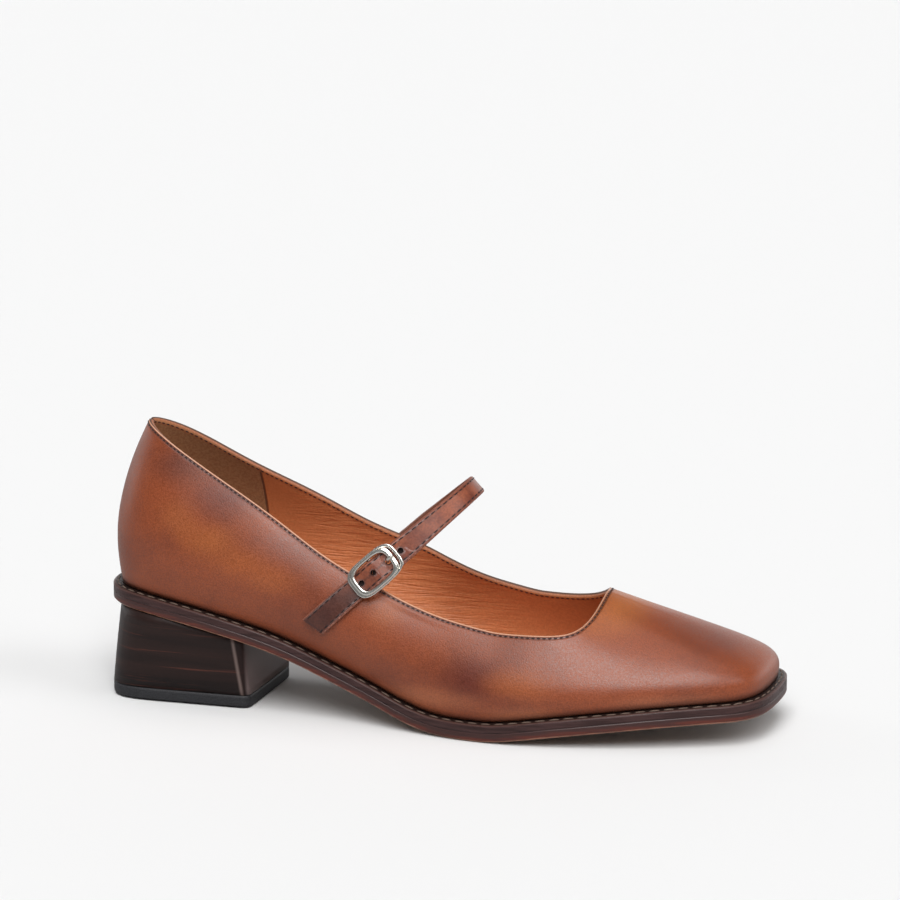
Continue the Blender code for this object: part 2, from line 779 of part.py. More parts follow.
def make_strap(path, look):
    sections = []
    chamfer = STRAP_CHAMFER
    for distance in np.linspace(0.0, path.length, STRAP_STATIONS):
        frame = path.frame(distance)
        rise = path.lift(distance)
        from_top = abs(distance / path.length - STRAP_TOP_SHARE) / STRAP_TAPER_SHARE
        half = (STRAP_WIDTH - STRAP_NARROWING * max(0.0, 1 - from_top ** 2)) / 2
        outline = (
            (-half, 0.0),
            (half, 0.0),
            (half, STRAP_THICK - chamfer),
            (half - chamfer, STRAP_THICK),
            (chamfer - half, STRAP_THICK),
            (-half, STRAP_THICK - chamfer),
        )
        section = []
        for side, off in outline:
            # The tail is cut off at a slant: its lower edge is the shorter one
            fade = max(0.0, 1 - 3 * distance / STRAP_TAIL)
            cut = STRAP_END_CUT * fade * (1 + side / half) / 2
            here = path.frame(distance + cut) if cut > 0 else frame
            section.append(place_local(here, 0.0, rise + off, side))
        sections.append(section)
    strap = swept_strip("strap", sections, look)
    buckle = path.crossing + BUCKLE_REACH
    for k in range(HOLE_COUNT):
        distance = buckle + PRONG_HOLE_REACH + (k - PRONG_HOLE) * HOLE_PITCH
        frame = path.frame(distance)
        heading = (0.0, 1.0)
        if k == PRONG_HOLE:
            heading = PRONG_HEADING
        middle = STRAP_THICK / 2 + path.lift(distance)
        reach = STRAP_THICK * 1.6
        rings = []
        for way in (-1, 1):
            along, off = heading[0] * reach * way, middle + heading[1] * reach * way
            rings.append(round_section(frame, along, off, HOLE_RADIUS, heading, count=10))
        boolean(strap, cutter(f"strap_hole_{k + 1}", rings), "DIFFERENCE")
    return strap


def buckle_outline(half_length, half_width, turn, more=0.0):
    # A rounded oblong; more is added to the half that faces the instep
    c, s = math.cos(turn), math.sin(turn)
    reach = half_length + (more if c > 0 else 0.0)
    along = reach * math.copysign(abs(c) ** BUCKLE_CORNERS, c)
    side = half_width * math.copysign(abs(s) ** BUCKLE_CORNERS, s)
    return along, side


def rounded_loop(frame, half_length, half_width, height, more=0.0, count=40):
    points = []
    for turn in np.arange(count) * 2 * math.pi / count:
        along, side = buckle_outline(half_length, half_width, turn, more)
        points.append(place_local(frame, along, height, side))
    return points


def make_buckle(path, look):
    frame = path.buckle_seat()
    low = path.buckle_underside()
    inner_length, inner_width = BUCKLE_OPENING / 2, STRAP_WIDTH / 2 + CLEARANCE
    outer_length, outer_width = inner_length + BUCKLE_END_BAR, inner_width + BUCKLE_SIDE_BAR
    flange, step = BUCKLE_FLANGE, BUCKLE_THICK * 0.45
    rings = (
        rounded_loop(frame, inner_length, inner_width, low),
        rounded_loop(frame, outer_length, outer_width, low, BUCKLE_RIM_REACH),
        rounded_loop(frame, outer_length, outer_width, low + step, BUCKLE_RIM_REACH),
        rounded_loop(frame, outer_length - flange, outer_width - flange, low + step),
        rounded_loop(frame, outer_length - flange * 1.3, outer_width - flange, low + BUCKLE_THICK),
        rounded_loop(frame, inner_length + flange * 0.3, inner_width + flange * 0.2,
                     low + BUCKLE_THICK),
        rounded_loop(frame, inner_length, inner_width, low + BUCKLE_THICK * 0.8),
    )
    buckle = closed_band("buckle_frame", rings, look)
    # The centre bar hangs from the middle of both side bars
    side = inner_width + BUCKLE_SIDE_BAR * 0.5
    bend = CENTRE_BAR_RADIUS * 1.2
    high = low + BUCKLE_THICK * 0.3
    foot = -CENTRE_BAR_DROP
    route = [(-side, high), (-side, foot + bend), (bend * 0.3 - side, foot + bend * 0.3), (bend - side, foot)]
    route += [(-y, z) for y, z in reversed(route)]
    sections = []
    for (y, z), heading in zip(route, headings(route)):
        ring = []
        for a in np.arange(8) * 2 * math.pi / 8:
            swing = CENTRE_BAR_RADIUS * math.cos(a)
            ring.append(place_local(frame, CENTRE_BAR_RADIUS * math.sin(a), z + heading[0] * swing,
                                    y - heading[1] * swing))
        sections.append(ring)
    boolean(buckle, cutter("centre_bar", sections), "UNION")
    # A slot parts the thin outer rim from the end bar on the instep's side
    slot = []
    for turn in np.linspace(-0.62, 0.62, 13):
        near = buckle_outline(inner_length + BUCKLE_SLOT_BACK, inner_width + flange * 0.6, turn)
        far = buckle_outline(inner_length + BUCKLE_SLOT_BACK + BUCKLE_SLOT,
                             inner_width + flange * 0.6, turn)
        slot.append([place_local(frame, along, level, side) for (along, side), level in (
            (near, low - step), (far, low - step), (far, low + BUCKLE_THICK * 2),
            (near, low + BUCKLE_THICK * 2))])
    boolean(buckle, cutter("buckle_slot", slot), "DIFFERENCE")
    return buckle


def prong_route(low_level):
    # Round the centre bar, under the strap, up through its hole and over the end bar
    reach = CENTRE_BAR_RADIUS + CLEARANCE + PRONG_RADIUS
    route = []
    for turn in (215, 180, 150, 120, 95):
        angle = math.radians(turn)
        route.append((reach * math.cos(angle), reach * math.sin(angle) - CENTRE_BAR_DROP))
    hole = PRONG_HOLE_REACH
    over = low_level + BUCKLE_THICK + CLEARANCE + PRONG_RADIUS
    low = reach - CENTRE_BAR_DROP
    route += [
        (hole * 0.27, low - CLEARANCE * 0.9),
        (hole * 0.50, low - CLEARANCE * 2.6),
        (hole * 0.72, low - CLEARANCE * 3.5),
        (hole * 0.83, low - CLEARANCE * 2.9),
        (hole * 0.94, low - CLEARANCE * 0.7),
        (hole * 1.01, STRAP_THICK * 0.65),
        (hole * 1.06, STRAP_THICK * 1.30),
        (hole * 1.10, over - BUCKLE_THICK * 0.75),
        (hole * 1.17, over - BUCKLE_THICK * 0.10),
        (hole * 1.30, over + CLEARANCE * 0.6),
        (hole * 1.48, over + CLEARANCE * 0.4),
        (BUCKLE_OPENING / 2 + BUCKLE_END_BAR * 0.8, over),
    ]
    return route


def make_prong(path, look):
    frame = path.buckle_seat()
    route = np.array(prong_route(path.buckle_underside()))
    dense = smooth_curve(route, np.linspace(0.0, 1.0, 26))
    sections = []
    for (along, off), heading in zip(dense, headings(dense)):
        sections.append(round_section(frame, along, off, PRONG_RADIUS, heading))
    return swept_strip("buckle_prong", sections, look)


def make_tab(shape, path, look):
    # The leather tab that holds the buckle: sewn inside the quarter, folded round the bar
    frame = path.buckle_seat()
    point, t, n, b = frame
    gap = UPPER_WALL + CLEARANCE * 1.8 + TAB_THICK / 2
    inside = quarter_run(shape, -1, TAB_DEPTH, 5, -gap)[0]
    route = []
    for place in inside[::-1]:
        away = place - point
        route.append((away @ t, away @ n))
    reach = CENTRE_BAR_RADIUS + CLEARANCE + TAB_THICK / 2
    for turn in (-88, -50, -10, 30, 70, 110, 150, 180):
        angle = math.radians(turn)
        route.append((reach * math.cos(angle), reach * math.sin(angle) - CENTRE_BAR_DROP))
    dense = smooth_curve(np.array(route), np.linspace(0.0, 1.0, 34))
    sections = []
    for (along, off), heading in zip(dense, headings(dense)):
        ring = []
        for way, side in ((-1, -1), (1, -1), (1, 1), (-1, 1)):
            ring.append(place_local(frame, along - heading[1] * way * TAB_THICK / 2,
                                    off + heading[0] * way * TAB_THICK / 2, side * TAB_WIDTH / 2))
        sections.append(ring)
    tab = swept_strip("buckle_tab", sections, look)
    slot = []
    for side in (-1, 1):
        corners = ((-0.0026, -0.0045), (0.0030, -0.0045), (0.0030, 0.0020), (-0.0026, 0.0020))
        slot.append([place_local(frame, a, o, side * TAB_SLOT / 2) for a, o in corners])
    boolean(tab, cutter("tab_slot", slot), "DIFFERENCE")
    return tab


def build():
    clear_scene()
    burnished = material("upper_leather", (0.36, 0.13, 0.06), 0.38)
    strap_leather = material("strap_leather", (0.20, 0.07, 0.05), 0.40)
    board = material("insole_leather", (0.55, 0.26, 0.12), 0.60)
    welt_leather = material("welt_leather", (0.07, 0.04, 0.035), 0.50)
    edge_leather = material("outsole_leather", (0.22, 0.07, 0.04), 0.45)
    stacked = material("heel_stack", (0.05, 0.03, 0.028), 0.45)
    rubber = material("top_lift_rubber", (0.02, 0.02, 0.022), 0.65)
    nickel = material("nickel", (0.75, 0.73, 0.70), 0.22, 1.0)
    shape = Upper()
    make_outsole(edge_leather)
    make_welt(welt_leather)
    make_insole(board)
    make_upper(shape, burnished)
    make_heel(stacked)
    make_top_lift(rubber)
    path = StrapPath(shape)
    make_strap(path, strap_leather)
    make_buckle(path, nickel)
    make_prong(path, nickel)
    make_tab(shape, path, strap_leather)


build()
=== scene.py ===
# A woman's right mary jane in burnished cognac leather, set up for a studio picture.
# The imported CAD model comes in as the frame. Every piece here is built on it, in metres.
import math

import bmesh
import bpy
from mathutils import Matrix, Vector, kdtree
from mathutils.bvhtree import BVHTree


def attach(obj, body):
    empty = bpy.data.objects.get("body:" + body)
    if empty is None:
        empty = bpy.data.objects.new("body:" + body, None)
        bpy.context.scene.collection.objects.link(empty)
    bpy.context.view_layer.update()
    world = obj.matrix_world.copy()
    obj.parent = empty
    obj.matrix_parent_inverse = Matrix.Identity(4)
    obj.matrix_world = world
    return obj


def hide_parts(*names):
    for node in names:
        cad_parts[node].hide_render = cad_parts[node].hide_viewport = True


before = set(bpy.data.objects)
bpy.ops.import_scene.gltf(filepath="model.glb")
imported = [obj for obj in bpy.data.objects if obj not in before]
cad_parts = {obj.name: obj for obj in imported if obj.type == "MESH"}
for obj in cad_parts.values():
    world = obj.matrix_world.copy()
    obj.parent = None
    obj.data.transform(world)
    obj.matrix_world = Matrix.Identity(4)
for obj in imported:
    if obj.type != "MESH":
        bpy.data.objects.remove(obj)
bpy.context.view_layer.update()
print("frame loaded:", sorted(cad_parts))


meshing = {"merge": 0.00001, "pair angle": 14, "halvings": 6}


def cadCopy(nodeName, pair=True):
    # A merged copy of a CAD node, with its triangles paired back into quads
    bm = bmesh.new()
    bm.from_mesh(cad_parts[nodeName].data)
    for layer in list(bm.loops.layers.uv):
        bm.loops.layers.uv.remove(layer)
    bm.edges.layers.float.new("crease_edge")
    bmesh.ops.remove_doubles(bm, verts=bm.verts, dist=meshing["merge"])
    if pair:
        bmesh.ops.join_triangles(bm, faces=bm.faces, cmp_seam=False, cmp_sharp=False,
                                 cmp_uvs=False, cmp_vcols=False, cmp_materials=False,
                                 angle_face_threshold=math.radians(meshing["pair angle"]),
                                 angle_shape_threshold=math.pi)
    bm.normal_update()
    return bm


def sharpEdges(bm, degrees):
    limit = math.radians(degrees)
    return [e for e in bm.edges if len(e.link_faces) == 2 and e.calc_face_angle(0.0) > limit]


def softenEdges(bm, degrees, width):
    bmesh.ops.bevel(bm, geom=sharpEdges(bm, degrees), offset=width, offset_type="OFFSET",
                    segments=2, profile=0.5, affect="EDGES", material=-1,
                    clamp_overlap=True)
    bm.normal_update()


def addPiece(name, bm, materials, sharpAngle=None):
    mesh = bpy.data.meshes.new(name)
    bm.to_mesh(mesh)
    bm.free()
    piece = bpy.data.objects.new(name, mesh)
    bpy.context.scene.collection.objects.link(piece)
    for look in materials:
        mesh.materials.append(look)
    mesh.shade_smooth()
    if sharpAngle:
        mesh.set_sharp_from_angle(angle=math.radians(sharpAngle))
    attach(piece, "root")
    return piece


def creaseEdges(bm, edges, amount):
    # Keeps edges where they are when the mesh is subdivided: 1 is sharp
    layer = bm.edges.layers.float["crease_edge"]
    for edge in edges:
        edge[layer] = amount


def subdivided(bm, levels):
    # The smooth surface of a mesh, worked out once so that later steps can read it
    mesh = bpy.data.meshes.new("subdivision")
    bm.to_mesh(mesh)
    bm.free()
    holder = bpy.data.objects.new("subdivision", mesh)
    bpy.context.scene.collection.objects.link(holder)
    step = holder.modifiers.new("smooth", "SUBSURF")
    step.levels = step.render_levels = levels
    step.use_limit_surface = False
    view = bpy.context.evaluated_depsgraph_get()
    made = bpy.data.meshes.new_from_object(holder.evaluated_get(view))
    smoothBm = bmesh.new()
    smoothBm.from_mesh(made)
    bpy.data.objects.remove(holder)
    bpy.data.meshes.remove(mesh)
    bpy.data.meshes.remove(made)
    return smoothBm


def treeOf(bm, look=None):
    # Search tree of all faces, or of the faces with one material
    bm.verts.index_update()
    faces = [f for f in bm.faces if look is None or f.material_index == look]
    return BVHTree.FromPolygons([v.co for v in bm.verts], [[v.index for v in f.verts] for f in faces])


def dense(bm, limit):
    # Cuts long edges in half until all are short, so that attributes follow the surface closely
    for turn in range(meshing["halvings"]):
        long = [e for e in bm.edges if e.calc_length() > limit]
        if not long:
            break
        bmesh.ops.subdivide_edges(bm, edges=long, cuts=1, use_grid_fill=True)
        bmesh.ops.triangulate(bm, faces=[f for f in bm.faces if len(f.verts) > 3])
    bm.normal_update()


def facePatches(bm, degrees):
    # Patches of faces that meet at less than the given angle, largest first
    limit = math.radians(degrees)
    bm.faces.ensure_lookup_table()
    bm.faces.index_update()
    seen = [False] * len(bm.faces)
    patches = []
    for start in bm.faces:
        if seen[start.index]:
            continue
        seen[start.index] = True
        patch, stack = [], [start]
        while stack:
            face = stack.pop()
            patch.append(face)
            for edge in face.edges:
                if len(edge.link_faces) != 2 or edge.calc_face_angle(0.0) > limit:
                    continue
                for other in edge.link_faces:
                    if not seen[other.index]:
                        seen[other.index] = True
                        stack.append(other)
        patches.append(patch)
    return sorted(patches, key=lambda patch: -sum(f.calc_area() for f in patch))


def borderLines(edges):
    # Edges sorted into closed lines of points, longest first
    left = {e.index: e for e in edges}
    lines = []
    while left:
        edge = left.pop(min(left))
        run = [edge.verts[0], edge.verts[1]]
        while True:
            onward = [e for e in run[-1].link_edges if e.index in left]
            if not onward:
                break
            edge = left.pop(onward[0].index)
            run.append(edge.other_vert(run[-1]))
        lines.append([v.co.copy() for v in run])
    return sorted(lines, key=lambda run: -sum((a - b).length for a, b in zip(run, run[1:])))


def spread(line, pitch):
    # Evenly spaced places on a line: point and direction
    lengths = [0.0]
    for a, b in zip(line, line[1:]):
        lengths.append(lengths[-1] + (b - a).length)
    count = max(2, round(lengths[-1] / pitch))
    places, k = [], 0
    for i in range(count):
        want = lengths[-1] * (i + 0.5) / count
        while lengths[k + 1] < want:
            k += 1
        share = (want - lengths[k]) / max(lengths[k + 1] - lengths[k], 1e-9)
        places.append((line[k].lerp(line[k + 1], share), (line[k + 1] - line[k]).normalized()))
    return places


def stitchInto(bm, where, along, out, size):
    # One thread stitch: a long low bead whose ends dive into the leather
    side = out.cross(along).normalized()
    turn = Matrix((along, side, out)).transposed().to_4x4()
    turn.translation = where - out * size["sink"]
    scale = Matrix.Diagonal((size["length"] / 2, size["width"] / 2, size["height"], 1.0))
    bmesh.ops.create_uvsphere(bm, u_segments=8, v_segments=6, radius=1.0, matrix=turn @ scale)


class NodeTree:
    # Short ways to add nodes to a tree
    def __init__(self, tree):
        self.tree = tree

    def add(self, kind, inputs=None, **settings):
        node = self.tree.nodes.new(kind)
        for key, value in settings.items():
            setattr(node, key, value)
        for key, value in (inputs or {}).items():
            if isinstance(value, bpy.types.NodeSocket):
                self.tree.links.new(value, node.inputs[key])
            else:
                node.inputs[key].default_value = value
        return node

    def maths(self, operation, first, second=0.0):
        return self.add("ShaderNodeMath", {0: first, 1: second}, operation=operation).outputs[0]

    def vectors(self, operation, inputs, output=0):
        return self.add("ShaderNodeVectorMath", inputs, operation=operation).outputs[output]

    def band(self, value, low, high, toLow=0.0, toHigh=1.0):
        # Smooth step from low to high
        return self.add("ShaderNodeMapRange", {"Value": value, "From Min": low, "From Max": high,
                        "To Min": toLow, "To Max": toHigh}, interpolation_type="SMOOTHSTEP").outputs[0]

    def fade(self, value, low, high):
        return self.band(value, low, high, 1.0, 0.0)


class Look(NodeTree):
    # A material with its shader
    def __init__(self, name, **sockets):
        self.material = bpy.data.materials.new(name)
        self.material.use_nodes = True
        super().__init__(self.material.node_tree)
        self.shader = self.tree.nodes["Principled BSDF"]
        self.place = None
        for socket, value in sockets.items():
            self.shader.inputs[socket.replace("_", " ")].default_value = value

    def group(self, tree, **inputs):
        return self.add("ShaderNodeGroup", inputs, node_tree=tree)

    def mix(self, share, first, second, blend="MIX"):
        return self.add("ShaderNodeMix", {0: share, 6: first, 7: second}, data_type="RGBA",
                        blend_type=blend).outputs[2]

    def groove(self, distance, places):
        # Full between two distances from an edge, soft at both ends
        return self.maths("MULTIPLY", self.band(distance, *places[:2]), self.fade(distance, *places[2:]))

    def tint(self, colour, mask, strength, shade):
        return self.mix(self.maths("MULTIPLY", mask, strength), colour, shade)

    def shadeBeside(self, colour, distance, values):
        low, high, strength, shade = values
        return self.tint(colour, self.fade(distance, low, high), strength, shade)

    def speckle(self, grain, toLow=0.0, toHigh=1.0):
        return self.band(grain.outputs["Speckle"], 0.3, 0.7, toLow, toHigh)

    def withPores(self, colour, grain, lightest):
        # pores hold more dye than the skin between them
        speckle = self.band(grain.outputs["Speckle"], 0.36, 0.64, 0.80, lightest)
        grey = self.add("ShaderNodeCombineColor", {0: speckle, 1: speckle, 2: speckle}).outputs[0]
        return self.mix(0.8, colour, grey, "MULTIPLY")

    def attribute(self, name):
        return self.add("ShaderNodeAttribute", attribute_name=name).outputs["Fac"]

    def objectPlace(self):
        if self.place is None:
            self.place = self.add("ShaderNodeTexCoord").outputs["Object"]
        return self.place

    def facing(self):
        # 1 where the surface looks up, -1 where it looks down
        normal = self.add("ShaderNodeNewGeometry").outputs["Normal"]
        return self.add("ShaderNodeSeparateXYZ", {0: normal}).outputs[2]

    def noise(self, scale, detail, stretch=None, lean=0.0, **inputs):
        # Noise over the piece, stretched and leaned where it has to run in lines
        place = self.objectPlace()
        if stretch:
            place = self.add("ShaderNodeMapping", {"Vector": place, "Rotation": (0.0, lean, 0.0),
                                                   "Scale": stretch}).outputs[0]
        return self.add("ShaderNodeTexNoise", {"Vector": place, "Scale": scale, "Detail": detail,
                                               **inputs}).outputs["Fac"]

    def bump(self, height, distance, strength=1.0, normal=None):
        node = self.add("ShaderNodeBump", {"Height": height, "Distance": distance, "Strength": strength})
        if normal is not None:
            self.tree.links.new(normal, node.inputs["Normal"])
        return node.outputs[0]

    def feed(self, socket, value):
        self.tree.links.new(value, self.shader.inputs[socket])


def paint(red, green, blue):
    # A colour picked on screen, 0 to 255, as the shader wants it
    def toLinear(value):
        value /= 255
        return value / 12.92 if value <= 0.04045 else ((value + 0.055) / 1.055) ** 2.4
    return (toLinear(red), toLinear(green), toLinear(blue), 1.0)


def newGroup(name, inputs, outputs):
    nodes = NodeTree(bpy.data.node_groups.new(name, "ShaderNodeTree"))
    for label, kind, value in inputs:
        socket = nodes.tree.interface.new_socket(label, in_out="INPUT", socket_type=kind)
        socket.default_value = value
    for label in outputs:
        nodes.tree.interface.new_socket(label, in_out="OUTPUT", socket_type="NodeSocketFloat")
    return nodes, nodes.add("NodeGroupInput").outputs


def makeGrain():
    # Leather grain: small cells with creases between them, broken up by noise
    nodes, given = newGroup("leatherGrain", [("Scale", "NodeSocketFloat", 1500.0),
                                             ("Softness", "NodeSocketFloat", 0.5)], ("Height", "Speckle"))
    place = nodes.add("ShaderNodeTexCoord").outputs["Object"]
    cells = nodes.add("ShaderNodeTexVoronoi", {"Vector": place, "Scale": given["Scale"]}, feature="SMOOTH_F1")
    coarser = nodes.maths("MULTIPLY", given["Scale"], 0.8)
    speck = nodes.add("ShaderNodeTexNoise", {"Vector": place, "Scale": coarser, "Detail": 3.0}).outputs["Fac"]
    both = nodes.add("ShaderNodeMix", {0: given["Softness"], 2: cells.outputs["Distance"], 3: speck})
    nodes.add("NodeGroupOutput", {"Height": both.outputs[0], "Speckle": speck})
    return nodes.tree


def makeSpot():
    # A soft patch seen from the side, used for dye and for painted light: 1 in its middle, 0 at its rim
    nodes, given = newGroup("dyeAndLightPatch", [("Centre", "NodeSocketVector", (0.0, 0.0, 0.0)),
                                         ("Reach", "NodeSocketVector", (0.02, 1.0, 0.02)),
                                         ("Cloud", "NodeSocketFloat", 0.5),
                                         ("Ragged", "NodeSocketFloat", 0.35)], ("Mask",))
    place = nodes.add("ShaderNodeTexCoord").outputs["Object"]
    offset = nodes.vectors("SUBTRACT", {0: place, 1: given["Centre"]})
    away = nodes.vectors("LENGTH", {0: nodes.vectors("DIVIDE", {0: offset, 1: given["Reach"]})}, "Value")
    rough = nodes.maths("MULTIPLY", given["Cloud"], given["Ragged"])
    fall = nodes.add("ShaderNodeMapRange", {"Value": nodes.maths("ADD", away, rough), "From Min": 1.25,
                     "From Max": 0.15}, interpolation_type="SMOOTHERSTEP")
    nodes.add("NodeGroupOutput", {"Mask": fall.outputs[0]})
    return nodes.tree


leatherGrain = makeGrain()
dyeAndLightPatch = makeSpot()

upperLook = {
    "base": paint(136, 64, 30), "dark": paint(98, 44, 27),
    "cloud scale": 34.0, "cloud strength": 0.45, "ragged scale": 70.0, "raggedness": 0.45,
    "grain scale": 2300.0, "grain depth": 0.00011, "pores": 1.14, "seam depth": 0.00022,
    # shades beside an edge: full up to and gone beyond these distances in metres, strength, colour
    "foot": (0.0002, 0.0030, 0.72, paint(52, 28, 22)),
    "skived": (0.00030, 0.00055, 0.85, paint(214, 164, 134)),
    "back seam": (0.0002, 0.0006, 0.60, paint(52, 28, 22)),
    "groove": (0.0005, 0.0008, 0.0013, 0.0019), "groove shade": (0.55, paint(60, 32, 26)),
    # the burnished patches, the last three of them painted light from the floor on the low vamp: centre x, z
    # and reach x, z in metres, colour, strength
    "patches": (
        (0.002, 0.071, 0.014, 0.012, paint(158, 86, 42), 0.50),
        (0.015, 0.064, 0.018, 0.011, paint(160, 86, 38), 0.70),
        (0.028, 0.058, 0.020, 0.010, paint(158, 82, 36), 0.70),
        (0.041, 0.052, 0.018, 0.009, paint(150, 78, 36), 0.65),
        (0.020, 0.080, 0.026, 0.012, paint(100, 54, 46), 0.65),
        (0.044, 0.064, 0.022, 0.010, paint(112, 62, 50), 0.45),
        (0.000, 0.090, 0.022, 0.012, paint(92, 44, 30), 0.75),
        (0.084, 0.043, 0.012, 0.009, paint(158, 88, 48), 0.50),
        (0.119, 0.022, 0.026, 0.014, paint(90, 31, 15), 0.90),
        (0.136, 0.022, 0.020, 0.009, paint(160, 84, 38), 0.60),
        (0.165, 0.045, 0.018, 0.012, paint(172, 98, 44), 0.70),
        (0.206, 0.036, 0.020, 0.010, paint(98, 46, 34), 0.65),
        # painted light: these lighten the low vamp as if lit from the floor below
        (0.100, 0.014, 0.034, 0.007, paint(170, 98, 60), 0.55),
        (0.140, 0.010, 0.026, 0.006, paint(172, 100, 62), 0.55),
        (0.190, 0.016, 0.026, 0.006, paint(160, 94, 62), 0.60),
    ),
}


def makeUpperLeather(values):
    look = Look("burnishedLeather", Roughness=0.4, Coat_Weight=0.16, Coat_Roughness=0.34)
    grain = look.group(leatherGrain, Scale=values["grain scale"], Softness=0.45)
    cloud = look.band(look.noise(values["cloud scale"], 5.0, Roughness=0.6), 0.40, 0.66)
    colour = look.tint(values["base"], cloud, values["cloud strength"], values["dark"])
    ragged = look.noise(values["ragged scale"], 4.0)
    # burnished dye patches, and the painted light on the low vamp
    for x, z, reachX, reachZ, shade, strength in values["patches"]:
        patch = look.group(dyeAndLightPatch, Centre=(x, 0.0, z), Reach=(reachX, 1.0, reachZ), Cloud=ragged,
                           Ragged=values["raggedness"])
        colour = look.tint(colour, patch.outputs["Mask"], strength, shade)
    colour = look.withPores(colour, grain, values["pores"])
    # darker along the foot of the upper, just over the welt
    colour = look.shadeBeside(colour, look.attribute("toFoot"), values["foot"])
    # the sewn line under the topline, then the pale skived edge
    edge = look.attribute("toTopline")
    groove = look.groove(edge, values["groove"])
    colour = look.tint(colour, groove, *values["groove shade"])
    colour = look.shadeBeside(colour, edge, values["skived"])
    # the closing seam down the back
    seamReach = look.attribute("toBackSeam")
    colour = look.shadeBeside(colour, seamReach, values["back seam"])
    look.feed("Base Color", colour)
    look.feed("Roughness", look.speckle(grain, 0.32, 0.54))
    seams = look.maths("ADD", groove, look.fade(seamReach, *values["back seam"][:2]))
    press = look.bump(look.maths("MULTIPLY", seams, -1.0), values["seam depth"])
    look.feed("Normal", look.bump(grain.outputs["Height"], values["grain depth"], 0.8, press))
    return look.material


liningLook = {
    "base": paint(216, 138, 90), "dark": paint(168, 92, 50), "grip": paint(164, 118, 80),
    "grip end": 0.0184, "grip blend": 0.0002, "nap": paint(144, 100, 66), "nap scale": 1100.0,
    # from x to x in metres
    "wrinkled": (0.034, 0.112), "to the toe": (0.118, 0.165), "to the heel": (0.026, 0.052),
    "wrinkle size": (64.0, 90.0, 760.0), "wrinkle lean": math.radians(14), "wrinkle depth": 0.00016,
    "painted shade to the toe": (0.35, paint(176, 92, 52)), "painted shade to the heel": 0.4,
    "seam": (0.00025, 0.0007, 0.75, paint(60, 30, 20)), "rim": (0.0016, 0.0022, 0.5, paint(176, 108, 70)),
}


def makeLining(values):
    look = Look("liningLeather", Roughness=0.55)
    along = look.add("ShaderNodeSeparateXYZ", {0: look.objectPlace()}).outputs[0]
    lines = look.noise(1.0, 3.0, values["wrinkle size"], values["wrinkle lean"],
                       Roughness=0.55, Distortion=0.6)
    start, end = values["wrinkled"]
    zone = look.maths("MULTIPLY", look.band(along, start - 0.012, start + 0.012),
                      look.fade(along, end - 0.02, end + 0.02))
    folds = look.maths("MULTIPLY", look.fade(lines, 0.34, 0.60), zone)
    grain = look.group(leatherGrain, Scale=1300.0, Softness=0.6)
    colour = look.tint(values["base"], look.speckle(grain), 0.3, values["dark"])
    # painted shade darkens the wrinkle creases; their bump is added further down
    colour = look.tint(colour, folds, 0.35, values["dark"])
    # painted shade: the lining darkens deep in the toe and towards the heel
    colour = look.tint(colour, look.band(along, *values["to the toe"]), *values["painted shade to the toe"])
    colour = look.tint(colour, look.fade(along, *values["to the heel"]), values["painted shade to the heel"], values["dark"])
    # the suede grip round the heel, and the seam where it meets the lining
    end, blend = values["grip end"], values["grip blend"]
    grip = look.fade(along, end - blend, end + blend)
    nap = look.band(look.noise(values["nap scale"], 4.0), 0.3, 0.7)
    colour = look.mix(grip, colour, look.mix(nap, values["grip"], values["nap"]))
    fromSeam = look.maths("ABSOLUTE", look.maths("SUBTRACT", along, end))
    colour = look.shadeBeside(colour, fromSeam, values["seam"])
    colour = look.shadeBeside(colour, look.attribute("toTopline"), values["rim"])
    look.feed("Base Color", colour)
    look.feed("Roughness", look.band(grip, 0.0, 1.0, 0.5, 0.92))
    sunk = look.maths("ADD", folds, look.fade(fromSeam, *values["seam"][:2]))
    deep = look.bump(look.maths("MULTIPLY", sunk, -1.0), values["wrinkle depth"])
    look.feed("Normal", look.bump(grain.outputs["Height"], 0.00006, 0.7, deep))
    return look.material


edgeLook = {
    "bare": paint(176, 112, 76), "bare darker": paint(146, 86, 56),
    "painted": (0.0006, 0.0011, 0.9, paint(72, 52, 44)),
    "back seam": (0.0003, 0.0008, 0.8, paint(70, 40, 30)),
}


def makeEdge(values):
    # the cut edge: painted dark outside, bare lining leather inside
    look = Look("skivedEdge", Roughness=0.6)
    grain = look.group(leatherGrain, Scale=2600.0, Softness=0.7)
    colour = look.mix(look.speckle(grain), values["bare"], values["bare darker"])
    colour = look.shadeBeside(colour, look.attribute("toOuter"), values["painted"])
    colour = look.shadeBeside(colour, look.attribute("toBackSeam"), values["back seam"])
    look.feed("Base Color", colour)
    look.feed("Normal", look.bump(grain.outputs["Height"], 0.00005))
    return look.material


threadLook = {"twist": 900.0, "depth": 0.00006, "shadow": 0.45}


def makeThread(name, colour, values):
    look = Look(name, Roughness=0.7)
    twist = look.add("ShaderNodeTexWave", {"Vector": look.objectPlace(), "Scale": values["twist"],
                                           "Distortion": 2.0}).outputs["Fac"]
    darker = tuple(c * values["shadow"] for c in colour[:3]) + (1.0,)
    look.feed("Base Color", look.tint(colour, twist, values["shadow"], darker))
    look.feed("Normal", look.bump(twist, values["depth"]))
    return look.material


soleLook = {
    # the rim colour is a painted highlight along the sole's bottom edge
    "side": paint(62, 40, 38), "low side": paint(94, 44, 34), "rim": paint(184, 124, 100),
    "streak": paint(58, 36, 36), "face": paint(124, 100, 84), "face darker": paint(102, 82, 70),
    # heights over the sole's underside in metres, where one shade turns into the next
    "rim height": (0.0003, 0.0009), "low height": (0.0009, 0.0026), "wander": 0.0024,
}


